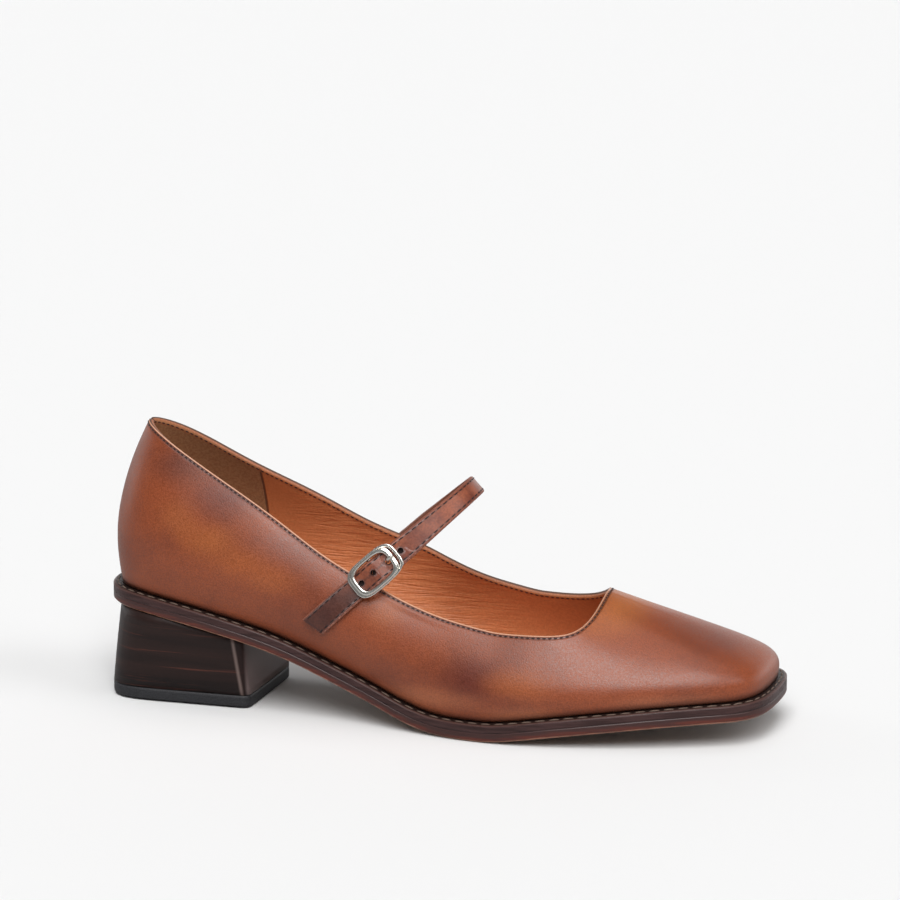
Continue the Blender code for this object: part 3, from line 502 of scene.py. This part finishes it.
def makeSoleLeather(values):
    look = Look("soleLeather", Roughness=0.45, Specular_IOR_Level=0.35)
    grain = look.group(leatherGrain, Scale=900.0, Softness=0.6)
    streak = look.noise(1.0, 4.0, (60.0, 60.0, 900.0))
    wander = look.maths("MULTIPLY", look.maths("SUBTRACT", streak, 0.5), values["wander"])
    lift = look.maths("ADD", look.attribute("overSole"), wander)
    side = look.mix(look.band(lift, *values["low height"]), values["low side"], values["side"])
    side = look.mix(look.band(streak, 0.4, 0.7, 0.0, 0.35), side, values["streak"])
    # painted highlight: a pale line along the bottom edge of the sole's side
    side = look.mix(look.band(lift, *values["rim height"], 0.8, 0.0), side, values["rim"])
    face = look.mix(look.speckle(grain, 0.0, 0.5), values["face"], values["face darker"])
    under = look.fade(look.facing(), -0.9, -0.6)
    look.feed("Base Color", look.mix(under, side, face))
    look.feed("Roughness", look.band(under, 0.0, 1.0, 0.36, 0.6))
    look.feed("Normal", look.bump(look.maths("ADD", grain.outputs["Height"], streak), 0.00007))
    return look.material


weltLook = {
    "side": paint(66, 44, 43), "side darker": paint(48, 30, 29),
    "rim": paint(76, 52, 47), "channel": paint(32, 20, 17), "channel reach": (0.0007, 0.0013),
}


def makeWeltLeather(values):
    look = Look("weltLeather", Roughness=0.42, Specular_IOR_Level=0.3)
    grain = look.group(leatherGrain, Scale=1200.0, Softness=0.5)
    streak = look.band(look.noise(1.0, 4.0, (70.0, 70.0, 800.0)), 0.35, 0.7)
    side = look.mix(streak, values["side"], values["side darker"])
    # the stitches lie in a dark channel inside the rim
    inward = look.band(look.attribute("fromRim"), *values["channel reach"])
    top = look.mix(inward, values["rim"], values["channel"])
    look.feed("Base Color", look.mix(look.band(look.facing(), 0.55, 0.85), side, top))
    look.feed("Roughness", look.speckle(grain, 0.34, 0.52))
    look.feed("Normal", look.bump(grain.outputs["Height"], 0.00008))
    return look.material


heelLook = {
    "base": paint(40, 24, 21), "layer": paint(88, 46, 36), "deep": paint(26, 15, 14),
    "layer size": (14.0, 14.0, 620.0), "layer lean": math.radians(1.5), "wide size": (10.0, 10.0, 170.0),
    # the layers show most below these heights in metres
    "worn height": (0.016, 0.030), "worn strength": 0.75,
    # towards the toe the side ends in a band of painted shade where the corner turns away, and the breast
    # beyond it is painted paler and greyer, a painted reflection of the floor that also hides most of its
    # layer lines
    "edge": (0.0250, paint(34, 15, 13), 0.8), "breast": (0.0272, paint(116, 100, 98), 0.85),
    # a painted highlight runs down the corner as a pale streak: its middle at mid height, half width, lean,
    # colour, strength
    "streak": (0.0244, 0.0011, 0.10, paint(136, 116, 110), 0.55), "mid height": 0.017,
}


def makeHeelStack(values):
    look = Look("stackedHeel", Roughness=0.42, Specular_IOR_Level=0.3)
    layers = look.noise(1.0, 5.0, values["layer size"], values["layer lean"], Roughness=0.65)
    wide = look.band(look.noise(1.0, 2.0, values["wide size"]), 0.35, 0.65)
    colour = look.mix(wide, values["deep"], values["base"])
    parts = look.add("ShaderNodeSeparateXYZ", {0: look.objectPlace()})
    low = look.band(parts.outputs[2], *values["worn height"], 1.0, 0.35)
    lines = look.maths("MULTIPLY", look.band(layers, 0.56, 0.66), low)
    colour = look.tint(colour, lines, values["worn strength"], values["layer"])
    # painted shade on the rounded front corner, then a painted floor reflection on the breast
    for start, shade, strength in (values["edge"], values["breast"]):
        beyond = look.band(parts.outputs[0], start - 0.0006, start + 0.0006)
        colour = look.tint(colour, beyond, strength, shade)
    # painted highlight: a pale streak down the heel's front corner
    middle, half, lean, shade, strength = values["streak"]
    leaning = look.maths("ADD", parts.outputs[0], look.maths("MULTIPLY", parts.outputs[2], lean))
    away = look.maths("ABSOLUTE", look.maths("SUBTRACT", leaning, middle + lean * values["mid height"]))
    colour = look.mix(look.band(away, 0.0, half, strength, 0.0), colour, shade)
    look.feed("Base Color", colour)
    look.feed("Normal", look.bump(layers, 0.00005))
    return look.material


strapLook = {
    "base": paint(142, 76, 50), "dark": paint(110, 52, 34), "pores": 1.12,
    # the tail is darker: full below and gone above these heights, strength, colour
    "tail": (0.047, 0.058, 0.85, paint(60, 29, 23)),
    "groove": (0.0002, 0.0005, 0.0008, 0.0012), "groove shade": (0.5, paint(62, 30, 24)),
    "punched": (0.0002, 0.0008, 0.6, paint(52, 26, 22)),
}


def makeStrapLeather(values):
    look = Look("strapLeather", Roughness=0.4, Coat_Weight=0.1, Coat_Roughness=0.3)
    height = look.add("ShaderNodeSeparateXYZ", {0: look.objectPlace()}).outputs[2]
    grain = look.group(leatherGrain, Scale=1700.0, Softness=0.45)
    cloud = look.band(look.noise(120.0, 4.0), 0.35, 0.65)
    colour = look.mix(cloud, values["base"], values["dark"])
    colour = look.shadeBeside(colour, height, values["tail"])
    colour = look.withPores(colour, grain, values["pores"])
    groove = look.groove(look.attribute("fromSide"), values["groove"])
    colour = look.tint(colour, groove, *values["groove shade"])
    colour = look.shadeBeside(colour, look.attribute("toHole"), values["punched"])
    look.feed("Base Color", colour)
    look.feed("Roughness", look.speckle(grain, 0.34, 0.5))
    look.feed("Normal", look.bump(grain.outputs["Height"], 0.00007, 0.8))
    return look.material


# small places with grain but no burnish: two shades, grain scale, softness and depth, roughness
plainLooks = {
    "heelRubber": (paint(44, 44, 48), paint(28, 28, 31), 2200.0, 0.9, 0.00006, 0.6),
    "strapEdge": (paint(140, 84, 64), paint(104, 58, 44), 1600.0, 0.6, 0.00006, 0.55),
    "strapLining": (paint(120, 70, 50), paint(96, 54, 38), 1600.0, 0.6, 0.00006, 0.6),
    # the dark hole look is painted shade inside the strap's holes
    "holeShadow": (paint(44, 22, 18), paint(30, 15, 12), 1600.0, 0.6, 0.00006, 0.8),
}


def makePlain(name, values):
    shade, darker, scale, softness, depth, roughness = values
    look = Look(name, Roughness=roughness)
    grain = look.group(leatherGrain, Scale=scale, Softness=softness)
    look.feed("Base Color", look.mix(look.speckle(grain), shade, darker))
    look.feed("Normal", look.bump(grain.outputs["Height"], depth))
    return look.material


nickelLook = {"bright": paint(250, 248, 241), "dull": paint(236, 232, 224), "wear scale": 140.0}


def makeNickel(values):
    look = Look("polishedNickel", Metallic=1.0, Roughness=0.22)
    wear = look.noise(values["wear scale"], 2.0)
    look.feed("Base Color", look.mix(look.band(wear, 0.35, 0.7), values["bright"], values["dull"]))
    look.feed("Roughness", look.band(wear, 0.3, 0.7, 0.20, 0.26))
    return look.material


sockLook = {"light": paint(190, 116, 72), "dark": paint(170, 98, 59), "grain scale": 2400.0}


def makeSock(values):
    look = Look("sockLeather", Roughness=0.5)
    grain = look.group(leatherGrain, Scale=values["grain scale"], Softness=0.5)
    tone = look.band(grain.outputs["Speckle"], 0.2, 0.8)
    look.feed("Base Color", look.mix(tone, values["light"], values["dark"]))
    look.feed("Normal", look.bump(grain.outputs["Height"], 0.00007))
    return look.material


upperLeather = makeUpperLeather(upperLook)
liningLeather = makeLining(liningLook)
skivedEdge = makeEdge(edgeLook)
soleLeather = makeSoleLeather(soleLook)
weltLeather = makeWeltLeather(weltLook)
stackedHeel = makeHeelStack(heelLook)
strapLeather = makeStrapLeather(strapLook)
heelRubber, strapEdge, strapLining, holeShadow = (makePlain(*look) for look in plainLooks.items())
polishedNickel = makeNickel(nickelLook)
sockLeather = makeSock(sockLook)
darkThread = makeThread("darkThread", paint(44, 26, 24), threadLook)
weltThread = makeThread("weltThread", paint(112, 92, 80), threadLook)
print("materials made")


def nearest(line, step=0.0004):
    # A search tree over a densely sampled line
    points = []
    for a, b in zip(line, line[1:]):
        count = max(1, int((b - a).length / step))
        points += [a.lerp(b, i / count) for i in range(count)]
    tree = kdtree.KDTree(len(points))
    for i, point in enumerate(points):
        tree.insert(point, i)
    tree.balance()
    return tree


def writeAttribute(bm, name, values):
    layer = bm.verts.layers.float.new(name)
    for vert, value in zip(bm.verts, values):
        vert[layer] = value


upperShape = {
    "edge angle": 50, "edge crease": 0.85, "levels": 2,
    # the small notch where both sides meet at the back seam: depth, half width, reach down the skin
    "notch": (0.0006, 0.0011, 0.0012),
    # x, z, reach and rise of soft unevenness, so that long highlights wander a little
    "waves": (
        (0.030, 0.066, 0.022, 0.00022), (0.092, 0.034, 0.020, -0.00028),
        (0.070, 0.040, 0.014, 0.00020), (0.128, 0.024, 0.022, 0.00018),
        (0.166, 0.034, 0.016, -0.00022), (0.010, 0.060, 0.020, -0.00018),
    ),
    "far side share": 0.6, "still border": 0.003,
}


def makeUpper(values):
    bm = cadCopy("upper")
    # the two largest patches are the skin and the lining, the next two the cut edges
    patches = facePatches(bm, values["edge angle"])
    strips = sorted(patches[2:4], key=lambda patch: sum(f.calc_center_median().z for f in patch) / len(patch),
                    reverse=True)
    for index, patch in enumerate((patches[0], strips[0], patches[1])):
        for face in patch:
            face.material_index = index
    creaseEdges(bm, sharpEdges(bm, values["edge angle"]), values["edge crease"])
    for face in strips[1]:
        face.material_index = 2
    bm = subdivided(bm, values["levels"])
    bm.edges.index_update()
    between = {}
    for edge in bm.edges:
        kinds = tuple(sorted({f.material_index for f in edge.link_faces}))
        if len(kinds) == 2:
            between.setdefault(kinds, []).append(edge)
    pairs = ((0, 1), (1, 2), (0, 2))
    outerLine, innerLine, footLine = (borderLines(between[pair])[0] for pair in pairs)
    top, inner, foot = nearest(outerLine), nearest(innerLine), nearest(footLine)
    bm.normal_update()
    toOuter = [top.find(v.co)[2] for v in bm.verts]
    toTopline = [min(reach, inner.find(v.co)[2]) for v, reach in zip(bm.verts, toOuter)]
    toFoot = [foot.find(v.co)[2] for v in bm.verts]
    depth, halfWidth, down = values["notch"]
    for vert, toEdge, footReach in zip(bm.verts, toTopline, toFoot):
        if vert.co.x < 0 and toEdge < down:
            vert.co.z -= depth * max(0.0, 1 - abs(vert.co.y) / halfWidth) * (1 - toEdge / down)
        if min(toEdge, footReach) < values["still border"]:
            continue
        for x, z, reach, rise in values["waves"]:
            away = ((vert.co.x - x) ** 2 + (vert.co.z - z) ** 2) / reach ** 2
            share = 1 if vert.normal.y < 0 else values["far side share"]
            vert.co += vert.normal * rise * math.exp(-away) * share
    writeAttribute(bm, "toTopline", toTopline)
    writeAttribute(bm, "toOuter", toOuter)
    writeAttribute(bm, "toFoot", toFoot)
    writeAttribute(bm, "toBackSeam", [abs(v.co.y) if v.co.x < 0 else 1.0 for v in bm.verts])
    rows = ((outerLine, treeOf(bm, 0)), (innerLine, treeOf(bm, 2)))
    piece = addPiece("upperSkin", bm, (upperLeather, skivedEdge, liningLeather))
    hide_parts("upper")
    return rows


toplineStitch = {"pitch": 0.0020, "down": 0.00105,
                 "size": {"length": 0.00155, "width": 0.00058, "height": 0.00030, "sink": 0.00006}}


def makeToplineStitches(rows, values):
    bm = bmesh.new()
    for line, surface in rows:
        for point, along in spread(line, values["pitch"]):
            normal = surface.find_nearest(point + Vector((0, 0, -values["down"])))[1]
            way = normal.cross(along).normalized()
            if way.z > 0:
                way = -way
            where, out = surface.find_nearest(point + way * values["down"])[:2]
            stitchInto(bm, where, (along - out * along.dot(out)).normalized(), out, values["size"])
    piece = addPiece("toplineStitches", bm, (darkThread,))


makeToplineStitches(makeUpper(upperShape), toplineStitch)
print("upper made")


soleShape = {"edge angle": 40, "levels": 2, "glued up": 0.00026, "underside reach": 0.0015}


def makeSole(values):
    bm = cadCopy("outsole")
    broad = facePatches(bm, values["edge angle"])[:2]
    under = min(broad, key=lambda patch: sum(f.normal.z for f in patch))
    lowest = BVHTree.FromPolygons([v.co for v in bm.verts], [[v.index for v in f.verts] for f in under])
    for vert in bm.verts:
        if lowest.find_nearest(vert.co)[3] > values["underside reach"]:
            vert.co.z += values["glued up"]  # against the welt
    creaseEdges(bm, sharpEdges(bm, values["edge angle"]), 1.0)
    bm = subdivided(bm, values["levels"])
    writeAttribute(bm, "overSole", [lowest.find_nearest(v.co)[3] for v in bm.verts])
    piece = addPiece("soleLeatherPiece", bm, (soleLeather,))
    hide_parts("outsole")


weltShape = {"rim angle": 60, "edge angle": 30, "levels": 2}
weltStitch = {"pitch": 0.0052, "inset": 0.00185, "search from": 0.01, "near": 0.004,
              "size": {"length": 0.0042, "width": 0.00062, "height": 0.00040, "sink": 0.00010}}


def makeWelt(values, stitch):
    bm = cadCopy("welt")
    rim = borderLines(sharpEdges(bm, values["rim angle"]))[0]
    creaseEdges(bm, sharpEdges(bm, values["edge angle"]), 1.0)
    bm = subdivided(bm, values["levels"])
    around = nearest([Vector((p.x, p.y, 0)) for p in rim])
    writeAttribute(bm, "fromRim", [around.find(Vector((v.co.x, v.co.y, 0)))[2] for v in bm.verts])
    tree = treeOf(bm)
    piece = addPiece("weltStrip", bm, (weltLeather,))
    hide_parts("welt")
    stitches = bmesh.new()
    down = Vector((0, 0, -1))
    for point, along in spread(rim + rim[:1], stitch["pitch"]):
        side = Vector((-along.y, along.x, 0)).normalized()
        for inward in (side, -side):
            # only the side on which the ray lands near the rim is the welt's own
            start = point + inward * stitch["inset"] - down * stitch["search from"]
            where, out = tree.ray_cast(start, down)[:2]
            if where and (where - point).length < stitch["near"]:
                flat = (along - out * along.dot(out)).normalized()
                stitchInto(stitches, where, flat, out, stitch["size"])
                break
    threads = addPiece("weltStitches", stitches, (weltThread,))


insoleShape = {"edge angle": 60, "edge width": 0.0004, "levels": 1, "sharp angle": 50}


def makeInsole(values):
    bm = cadCopy("insole")
    softenEdges(bm, values["edge angle"], values["edge width"])
    bm = subdivided(bm, values["levels"])
    piece = addPiece("insoleSock", bm, (sockLeather,), sharpAngle=values["sharp angle"])
    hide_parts("insole")


heelShape = {"edge angle": 50, "edge crease": 0.85, "levels": 2}


def makeHeel(values):
    for node, name, look, slot in (("heel_block", "heelStack", stackedHeel, "heel_stack"),
                                   ("top_lift", "heelTopLift", heelRubber, "top_lift_rubber")):
        bm = cadCopy(node)
        creaseEdges(bm, sharpEdges(bm, values["edge angle"]), values["edge crease"])
        bm = subdivided(bm, values["levels"])
        piece = addPiece(name, bm, (look,))
        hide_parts(node)


makeSole(soleShape)
makeWelt(weltShape, weltStitch)
makeInsole(insoleShape)
makeHeel(heelShape)
print("sole, welt, insole and heel made")


buckleShape = {
    "seat": Vector((0.07969, -0.02825, 0.0570)),
    "along": Vector((0.7215, 0.2090, 0.6601)), "out": Vector((0.0466, -0.9659, 0.2548)),
    "underside": 0.0026, "corner": 0.56,
    # each band: inner and outer outline as reach to the tail, reach to the instep and half width,
    # its height, the rounding of its edges and how far from the middle it starts
    "bands": {
        "ridge": ((0.0073, 0.0073, 0.0048), (0.0090, 0.0088, 0.0061), 0.0015, 0.0005, None),
        "flange": ((0.0078, 0.0078, 0.0052), (0.0101, 0.0092, 0.0066), 0.0009, 0.0003, None),
        "rim": ((0.0, 0.01015, 0.0059), (0.0, 0.0113, 0.0066), 0.0011, 0.00035, 0.0046),
    },
    "bar": {"radius": 0.0008, "drop": 0.0013, "half": 0.0057}, "sharp angle": 50,
}


strapShape = {
    "edge angle": 30, "longest edge": 0.0013, "smoothing": 14,
    # the painted shade discs sit this deep in the holes
    "hole shade depth": 0.0014, "hole reach": 0.003, "seat reach": 0.01,
    # the prong's hole lies this far along from the middle of the buckle's seat
    "prong hole": (0.004, 0.008),
    "round": {"width": 0.00018, "segments": 2, "angle": 40},
}
strapStitch = {"pitch": 0.0030, "inset": 0.00065,
               # the other long edge lies this far off, and a stitch faces it this squarely
               "across": (0.006, 0.012), "parallel": 0.95, "slip": 0.0022,
               "size": {"length": 0.0022, "width": 0.00052, "height": 0.00022, "sink": 0.00004}}


def makeStrap(values, stitch):
    bm = cadCopy("strap", pair=False)
    patches = facePatches(bm, values["edge angle"])
    seat, off, lengthways = buckleShape["seat"], buckleShape["out"], buckleShape["along"]

    def heightAtSeat(patch):
        near = [f.calc_center_median() - seat for f in patch]
        return max(reach.dot(off) for reach in near if reach.length < values["seat reach"])

    # of the two broad faces the outer one is the further from the foot
    outer, under = sorted(patches[:2], key=heightAtSeat, reverse=True)
    chosen = {f.index for f in outer}
    for face in bm.faces:
        face.material_index = 1
    for face in outer:
        face.material_index = 0
    for face in under:
        face.material_index = 3
    bm.edges.index_update()
    loops = borderLines([e for e in bm.edges if len({f.index in chosen for f in e.link_faces}) == 2])
    outline, holes = loops[0], loops[1:]
    # the hole walls get the dark hole look, painted shade inside the holes
    for patch in patches[2:]:
        middle = sum((f.calc_center_median() for f in patch), Vector()) / len(patch)
        if any((middle - hole[0]).length < values["hole reach"] for hole in holes):
            for face in patch:
                face.material_index = 2
    face = treeOf(bm)
    stitches = bmesh.new()
    rows = spread(outline, stitch["pitch"])
    for point, along in rows:
        facing = [p - point for p, a in rows
                  if stitch["across"][0] < (p - point).length < stitch["across"][1]
                  and abs(a.dot(along)) > stitch["parallel"] and abs((p - point).dot(along)) < stitch["slip"]]
        if facing:
            inward = (facing[0] - along * facing[0].dot(along)).normalized()
            where, out = face.find_nearest(point + inward * stitch["inset"])[:2]
            stitchInto(stitches, where, (along - out * along.dot(out)).normalized(), out, stitch["size"])
    threads = addPiece("strapStitches", stitches, (darkThread,))
    shadeDiscs = bmesh.new()
    # painted shade: a dark disc sunk in each hole stands for the shadow inside it
    for hole in holes:
        middle = sum(hole, Vector()) / len(hole)
        if values["prong hole"][0] < (middle - seat).dot(lengthways) < values["prong hole"][1]:
            continue
        out = face.find_nearest(middle)[1]
        turn = out.to_track_quat("Z", "Y").to_matrix().to_4x4()
        turn.translation = middle - out * values["hole shade depth"]
        bmesh.ops.create_circle(shadeDiscs, cap_ends=True, segments=24, radius=(hole[0] - middle).length,
                                matrix=turn)
    shades = addPiece("strapHoleShadeDiscs", shadeDiscs, (holeShadow,))
    dense(bm, values["longest edge"])
    inside = [v for v in bm.verts if len({f.material_index for f in v.link_faces}) == 1
              and v.link_faces[0].material_index in (0, 3)]
    for turn in range(values["smoothing"]):
        bmesh.ops.smooth_vert(bm, verts=inside, factor=0.5,
                              use_axis_x=True, use_axis_y=True, use_axis_z=True)
    rim, punched = nearest(outline), nearest([p for hole in holes for p in hole])
    writeAttribute(bm, "fromSide", [rim.find(v.co)[2] for v in bm.verts])
    writeAttribute(bm, "toHole", [punched.find(v.co)[2] for v in bm.verts])
    piece = addPiece("strapBody", bm, (strapLeather, strapEdge, holeShadow, strapLining),
                     sharpAngle=values["edge angle"])
    soft = piece.modifiers.new("soft edges", "BEVEL")
    soft.width = values["round"]["width"]
    soft.segments = values["round"]["segments"]
    soft.limit_method = "ANGLE"
    soft.angle_limit = math.radians(values["round"]["angle"])
    soft.harden_normals = True
    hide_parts("strap")


def pressedOblong(bm, outline, height, corner):
    # A circle pressed into the buckle's outline
    back, front, halfWidth = outline
    ring = bmesh.ops.create_circle(bm, cap_ends=False, segments=96, radius=1.0)["verts"]
    for vert in ring:
        x, y = vert.co.x, vert.co.y
        reach = front if x > 0 else max(back, front)
        vert.co = (reach * math.copysign(abs(x) ** corner, x),
                   halfWidth * math.copysign(abs(y) ** corner, y), height)
    return ring


def raisedBand(bm, inner, outer, height, soft, cutoff, values):
    # A flat band between two outlines, raised and rounded
    low = values["underside"]
    rings = [pressedOblong(bm, outline, low, values["corner"]) for outline in (inner, outer)]
    edges = list({e for ring in rings for v in ring for e in v.link_edges})
    faces = bmesh.ops.bridge_loops(bm, edges=edges)["faces"]
    if cutoff:
        gone = [f for f in faces if f.calc_center_median().x < cutoff]
        faces = [f for f in faces if f.calc_center_median().x >= cutoff]
        bmesh.ops.delete(bm, geom=gone, context="FACES")
    raised = bmesh.ops.extrude_face_region(bm, geom=faces, use_keep_orig=True)["geom"]
    tops = [v for v in raised if isinstance(v, bmesh.types.BMVert)]
    bmesh.ops.translate(bm, vec=(0, 0, height), verts=tops)
    bmesh.ops.recalc_face_normals(bm, faces=bm.faces)
    tops = set(tops)
    sharp = [e for e in bm.edges if len(e.link_faces) == 2 and e.calc_face_angle(0.0) > 1.0
             and e.verts[0] in tops and e.verts[1] in tops]
    bmesh.ops.bevel(bm, geom=sharp, offset=soft, offset_type="OFFSET", segments=4, profile=0.5,
                    affect="EDGES", material=-1, clamp_overlap=True)


def placeOnSeat(bm, values):
    along, out = values["along"].normalized(), values["out"].normalized()
    side = out.cross(along) * -1
    turn = Matrix((along, -side, out)).transposed().to_4x4()
    turn.translation = values["seat"]
    bmesh.ops.transform(bm, matrix=turn, verts=bm.verts)
    bmesh.ops.recalc_face_normals(bm, faces=bm.faces)


def makeBuckle(values):
    bm = bmesh.new()
    for inner, outer, height, soft, cutoff in values["bands"].values():
        band = bmesh.new()
        raisedBand(band, inner, outer, height, soft, cutoff, values)
        mesh = bpy.data.meshes.new("band")
        band.to_mesh(mesh)
        bm.from_mesh(mesh)
        band.free()
        bpy.data.meshes.remove(mesh)
    # the centre bar and the lugs that it hangs from
    bar, low = values["bar"], values["underside"]
    turn = Matrix.Translation((0, 0, -bar["drop"])) @ Matrix.Rotation(math.pi / 2, 4, "X")
    bmesh.ops.create_cone(bm, cap_ends=True, segments=16, radius1=bar["radius"], radius2=bar["radius"],
                          depth=bar["half"] * 2, matrix=turn)
    for side in (-1, 1):
        lug = Matrix.Translation((0, side * bar["half"], (low - bar["drop"]) / 2))
        bmesh.ops.create_cone(bm, cap_ends=True, segments=16, radius1=bar["radius"], radius2=bar["radius"],
                              depth=low + bar["drop"] + bar["radius"], matrix=lug)
    placeOnSeat(bm, values)
    piece = addPiece("buckleFrame", bm, (polishedNickel,), sharpAngle=values["sharp angle"])
    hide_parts("buckle_frame")


prongShape = {
    "radius": 0.00066, "tip": 0.8,
    # along the strap and off it, in millimetres
    "route": ((-1.4, -2.3), (-1.75, -1.3), (-1.2, 0.0), (0.0, 0.46), (1.6, 0.1), (3.2, -0.55), (4.6, -0.5),
              (5.5, 0.3), (6.0, 1.4), (6.35, 2.9), (6.75, 4.1), (7.4, 4.85), (8.4, 5.0), (9.4, 4.85)),
}


def makeProng(values, seat):
    curve = bpy.data.curves.new("prong", "CURVE")
    curve.dimensions = "3D"
    curve.bevel_depth = values["radius"]
    curve.bevel_resolution = 4
    curve.use_fill_caps = True
    curve.resolution_u = 8
    spline = curve.splines.new("NURBS")
    spline.points.add(len(values["route"]) - 1)
    for point, (along, off) in zip(spline.points, values["route"]):
        point.co = (along / 1000, 0.0, off / 1000, 1.0)
        point.radius = 1.0
    spline.points[-1].radius = values["tip"]
    spline.order_u = 4
    spline.use_endpoint_u = True
    holder = bpy.data.objects.new("prong", curve)
    bpy.context.scene.collection.objects.link(holder)
    view = bpy.context.evaluated_depsgraph_get()
    mesh = bpy.data.meshes.new_from_object(holder.evaluated_get(view))
    bm = bmesh.new()
    bm.from_mesh(mesh)
    bpy.data.objects.remove(holder)
    bmesh.ops.remove_doubles(bm, verts=bm.verts, dist=0.000001)
    placeOnSeat(bm, seat)
    piece = addPiece("bucklePin", bm, (polishedNickel,), sharpAngle=seat["sharp angle"])
    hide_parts("buckle_prong")


makeStrap(strapShape, strapStitch)
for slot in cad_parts["buckle_tab"].material_slots:
    slot.material = sockLeather
print("strap made")
makeBuckle(buckleShape)
makeProng(prongShape, buckleShape)
print("buckle made")


studio = {"floor": (0.80, 0.80, 0.80, 1.0), "glossy floor": (0.38, 0.38, 0.38, 1.0),
          "sides": 0.13, "top": 0.06, "backdrop": 0.93, "floor half size": 14.0, "floor level": -0.0002,
          "aim": Vector((0.099, 0.0, 0.0978)), "azimuth": 17.0, "elevation": 12.0, "distance": 1.4,
          "lens": 152.88}


def towards(azimuth, elevation):
    # Direction from the shoe to a place round it, in degrees
    a, e = math.radians(azimuth), math.radians(elevation)
    return Vector((math.sin(a) * math.cos(e), -math.cos(a) * math.cos(e), math.sin(e)))


def makeFloor(values):
    bm = bmesh.new()
    bmesh.ops.create_grid(bm, x_segments=4, y_segments=4, size=values["floor half size"])
    mesh = bpy.data.meshes.new("floor")
    bm.to_mesh(mesh)
    bm.free()
    floor = bpy.data.objects.new("floor", mesh)
    floor.location.z = values["floor level"]
    bpy.context.scene.collection.objects.link(floor)
    look = Look("palePaper", Roughness=0.9)
    # the paper mirrors less than it shows, as under the grid of a softbox
    path = look.add("ShaderNodeLightPath")
    look.feed("Base Color", look.mix(path.outputs["Is Glossy Ray"], values["floor"], values["glossy floor"]))
    mesh.materials.append(look.material)


softboxes = {
    # azimuth and elevation in degrees, half width and half height in degrees, strength
    "front": (14, 53, 16, 21, 7.4),
    "overhead": (180, 75, 20, 14, 1.1),
    "right": (80, 38, 12, 16, 3.0),
    "left": (-105, 15, 12, 16, 1.3),
    "backdrop": (180, 6, 60, 9, 1.5),
}


def makeStudio(values, boxes):
    # A sky of soft light round the shoe, with a few large softboxes in it
    world = bpy.data.worlds.new("studio")
    world.use_nodes = True
    sky = NodeTree(world.node_tree)
    way = sky.add("ShaderNodeTexCoord").outputs["Generated"]
    height = sky.maths("MAXIMUM", sky.add("ShaderNodeSeparateXYZ", {0: way}).outputs[2], 0.0)
    overhead = sky.maths("MULTIPLY", sky.maths("MULTIPLY", height, height), values["top"])
    total = sky.maths("ADD", overhead, values["sides"])
    for azimuth, elevation, halfWidth, halfHeight, strength in boxes.values():
        mask = strength
        for axis, half in ((towards(azimuth + 90, 0), halfWidth),
                           (towards(azimuth, elevation + 90), halfHeight)):
            reach = sky.maths("ABSOLUTE", sky.vectors("DOT_PRODUCT", {0: way, 1: axis}, "Value"))
            edge = sky.fade(reach, math.sin(math.radians(half * 0.7)), math.sin(math.radians(half * 1.3)))
            mask = sky.maths("MULTIPLY", edge, mask)
        facing = sky.vectors("DOT_PRODUCT", {0: way, 1: towards(azimuth, elevation)}, "Value")
        mask = sky.maths("MULTIPLY", mask, sky.maths("GREATER_THAN", facing, 0.0))
        total = sky.maths("ADD", total, mask)
    seen = sky.add("ShaderNodeMix", {0: sky.add("ShaderNodeLightPath").outputs["Is Camera Ray"],
                                     2: total, 3: values["backdrop"]})
    background = sky.tree.nodes["Background"].inputs
    background["Color"].default_value = (1.0, 1.0, 1.0, 1.0)
    sky.tree.links.new(seen.outputs[0], background["Strength"])
    bpy.context.scene.world = world


makeFloor(studio)
makeStudio(studio, softboxes)

camera = bpy.data.cameras.new("camera")
camera.lens = studio["lens"]
camera.sensor_width = 36.0
eye = bpy.data.objects.new("camera", camera)
back = towards(studio["azimuth"], studio["elevation"])
eye.location = studio["aim"] + back * studio["distance"]
eye.rotation_euler = (-back).to_track_quat("-Z", "Y").to_euler()
camera.clip_start, camera.clip_end = 0.05, 60.0
bpy.context.scene.collection.objects.link(eye)
bpy.context.scene.camera = eye
bpy.context.scene.view_settings.view_transform = "Standard"

print("studio made")
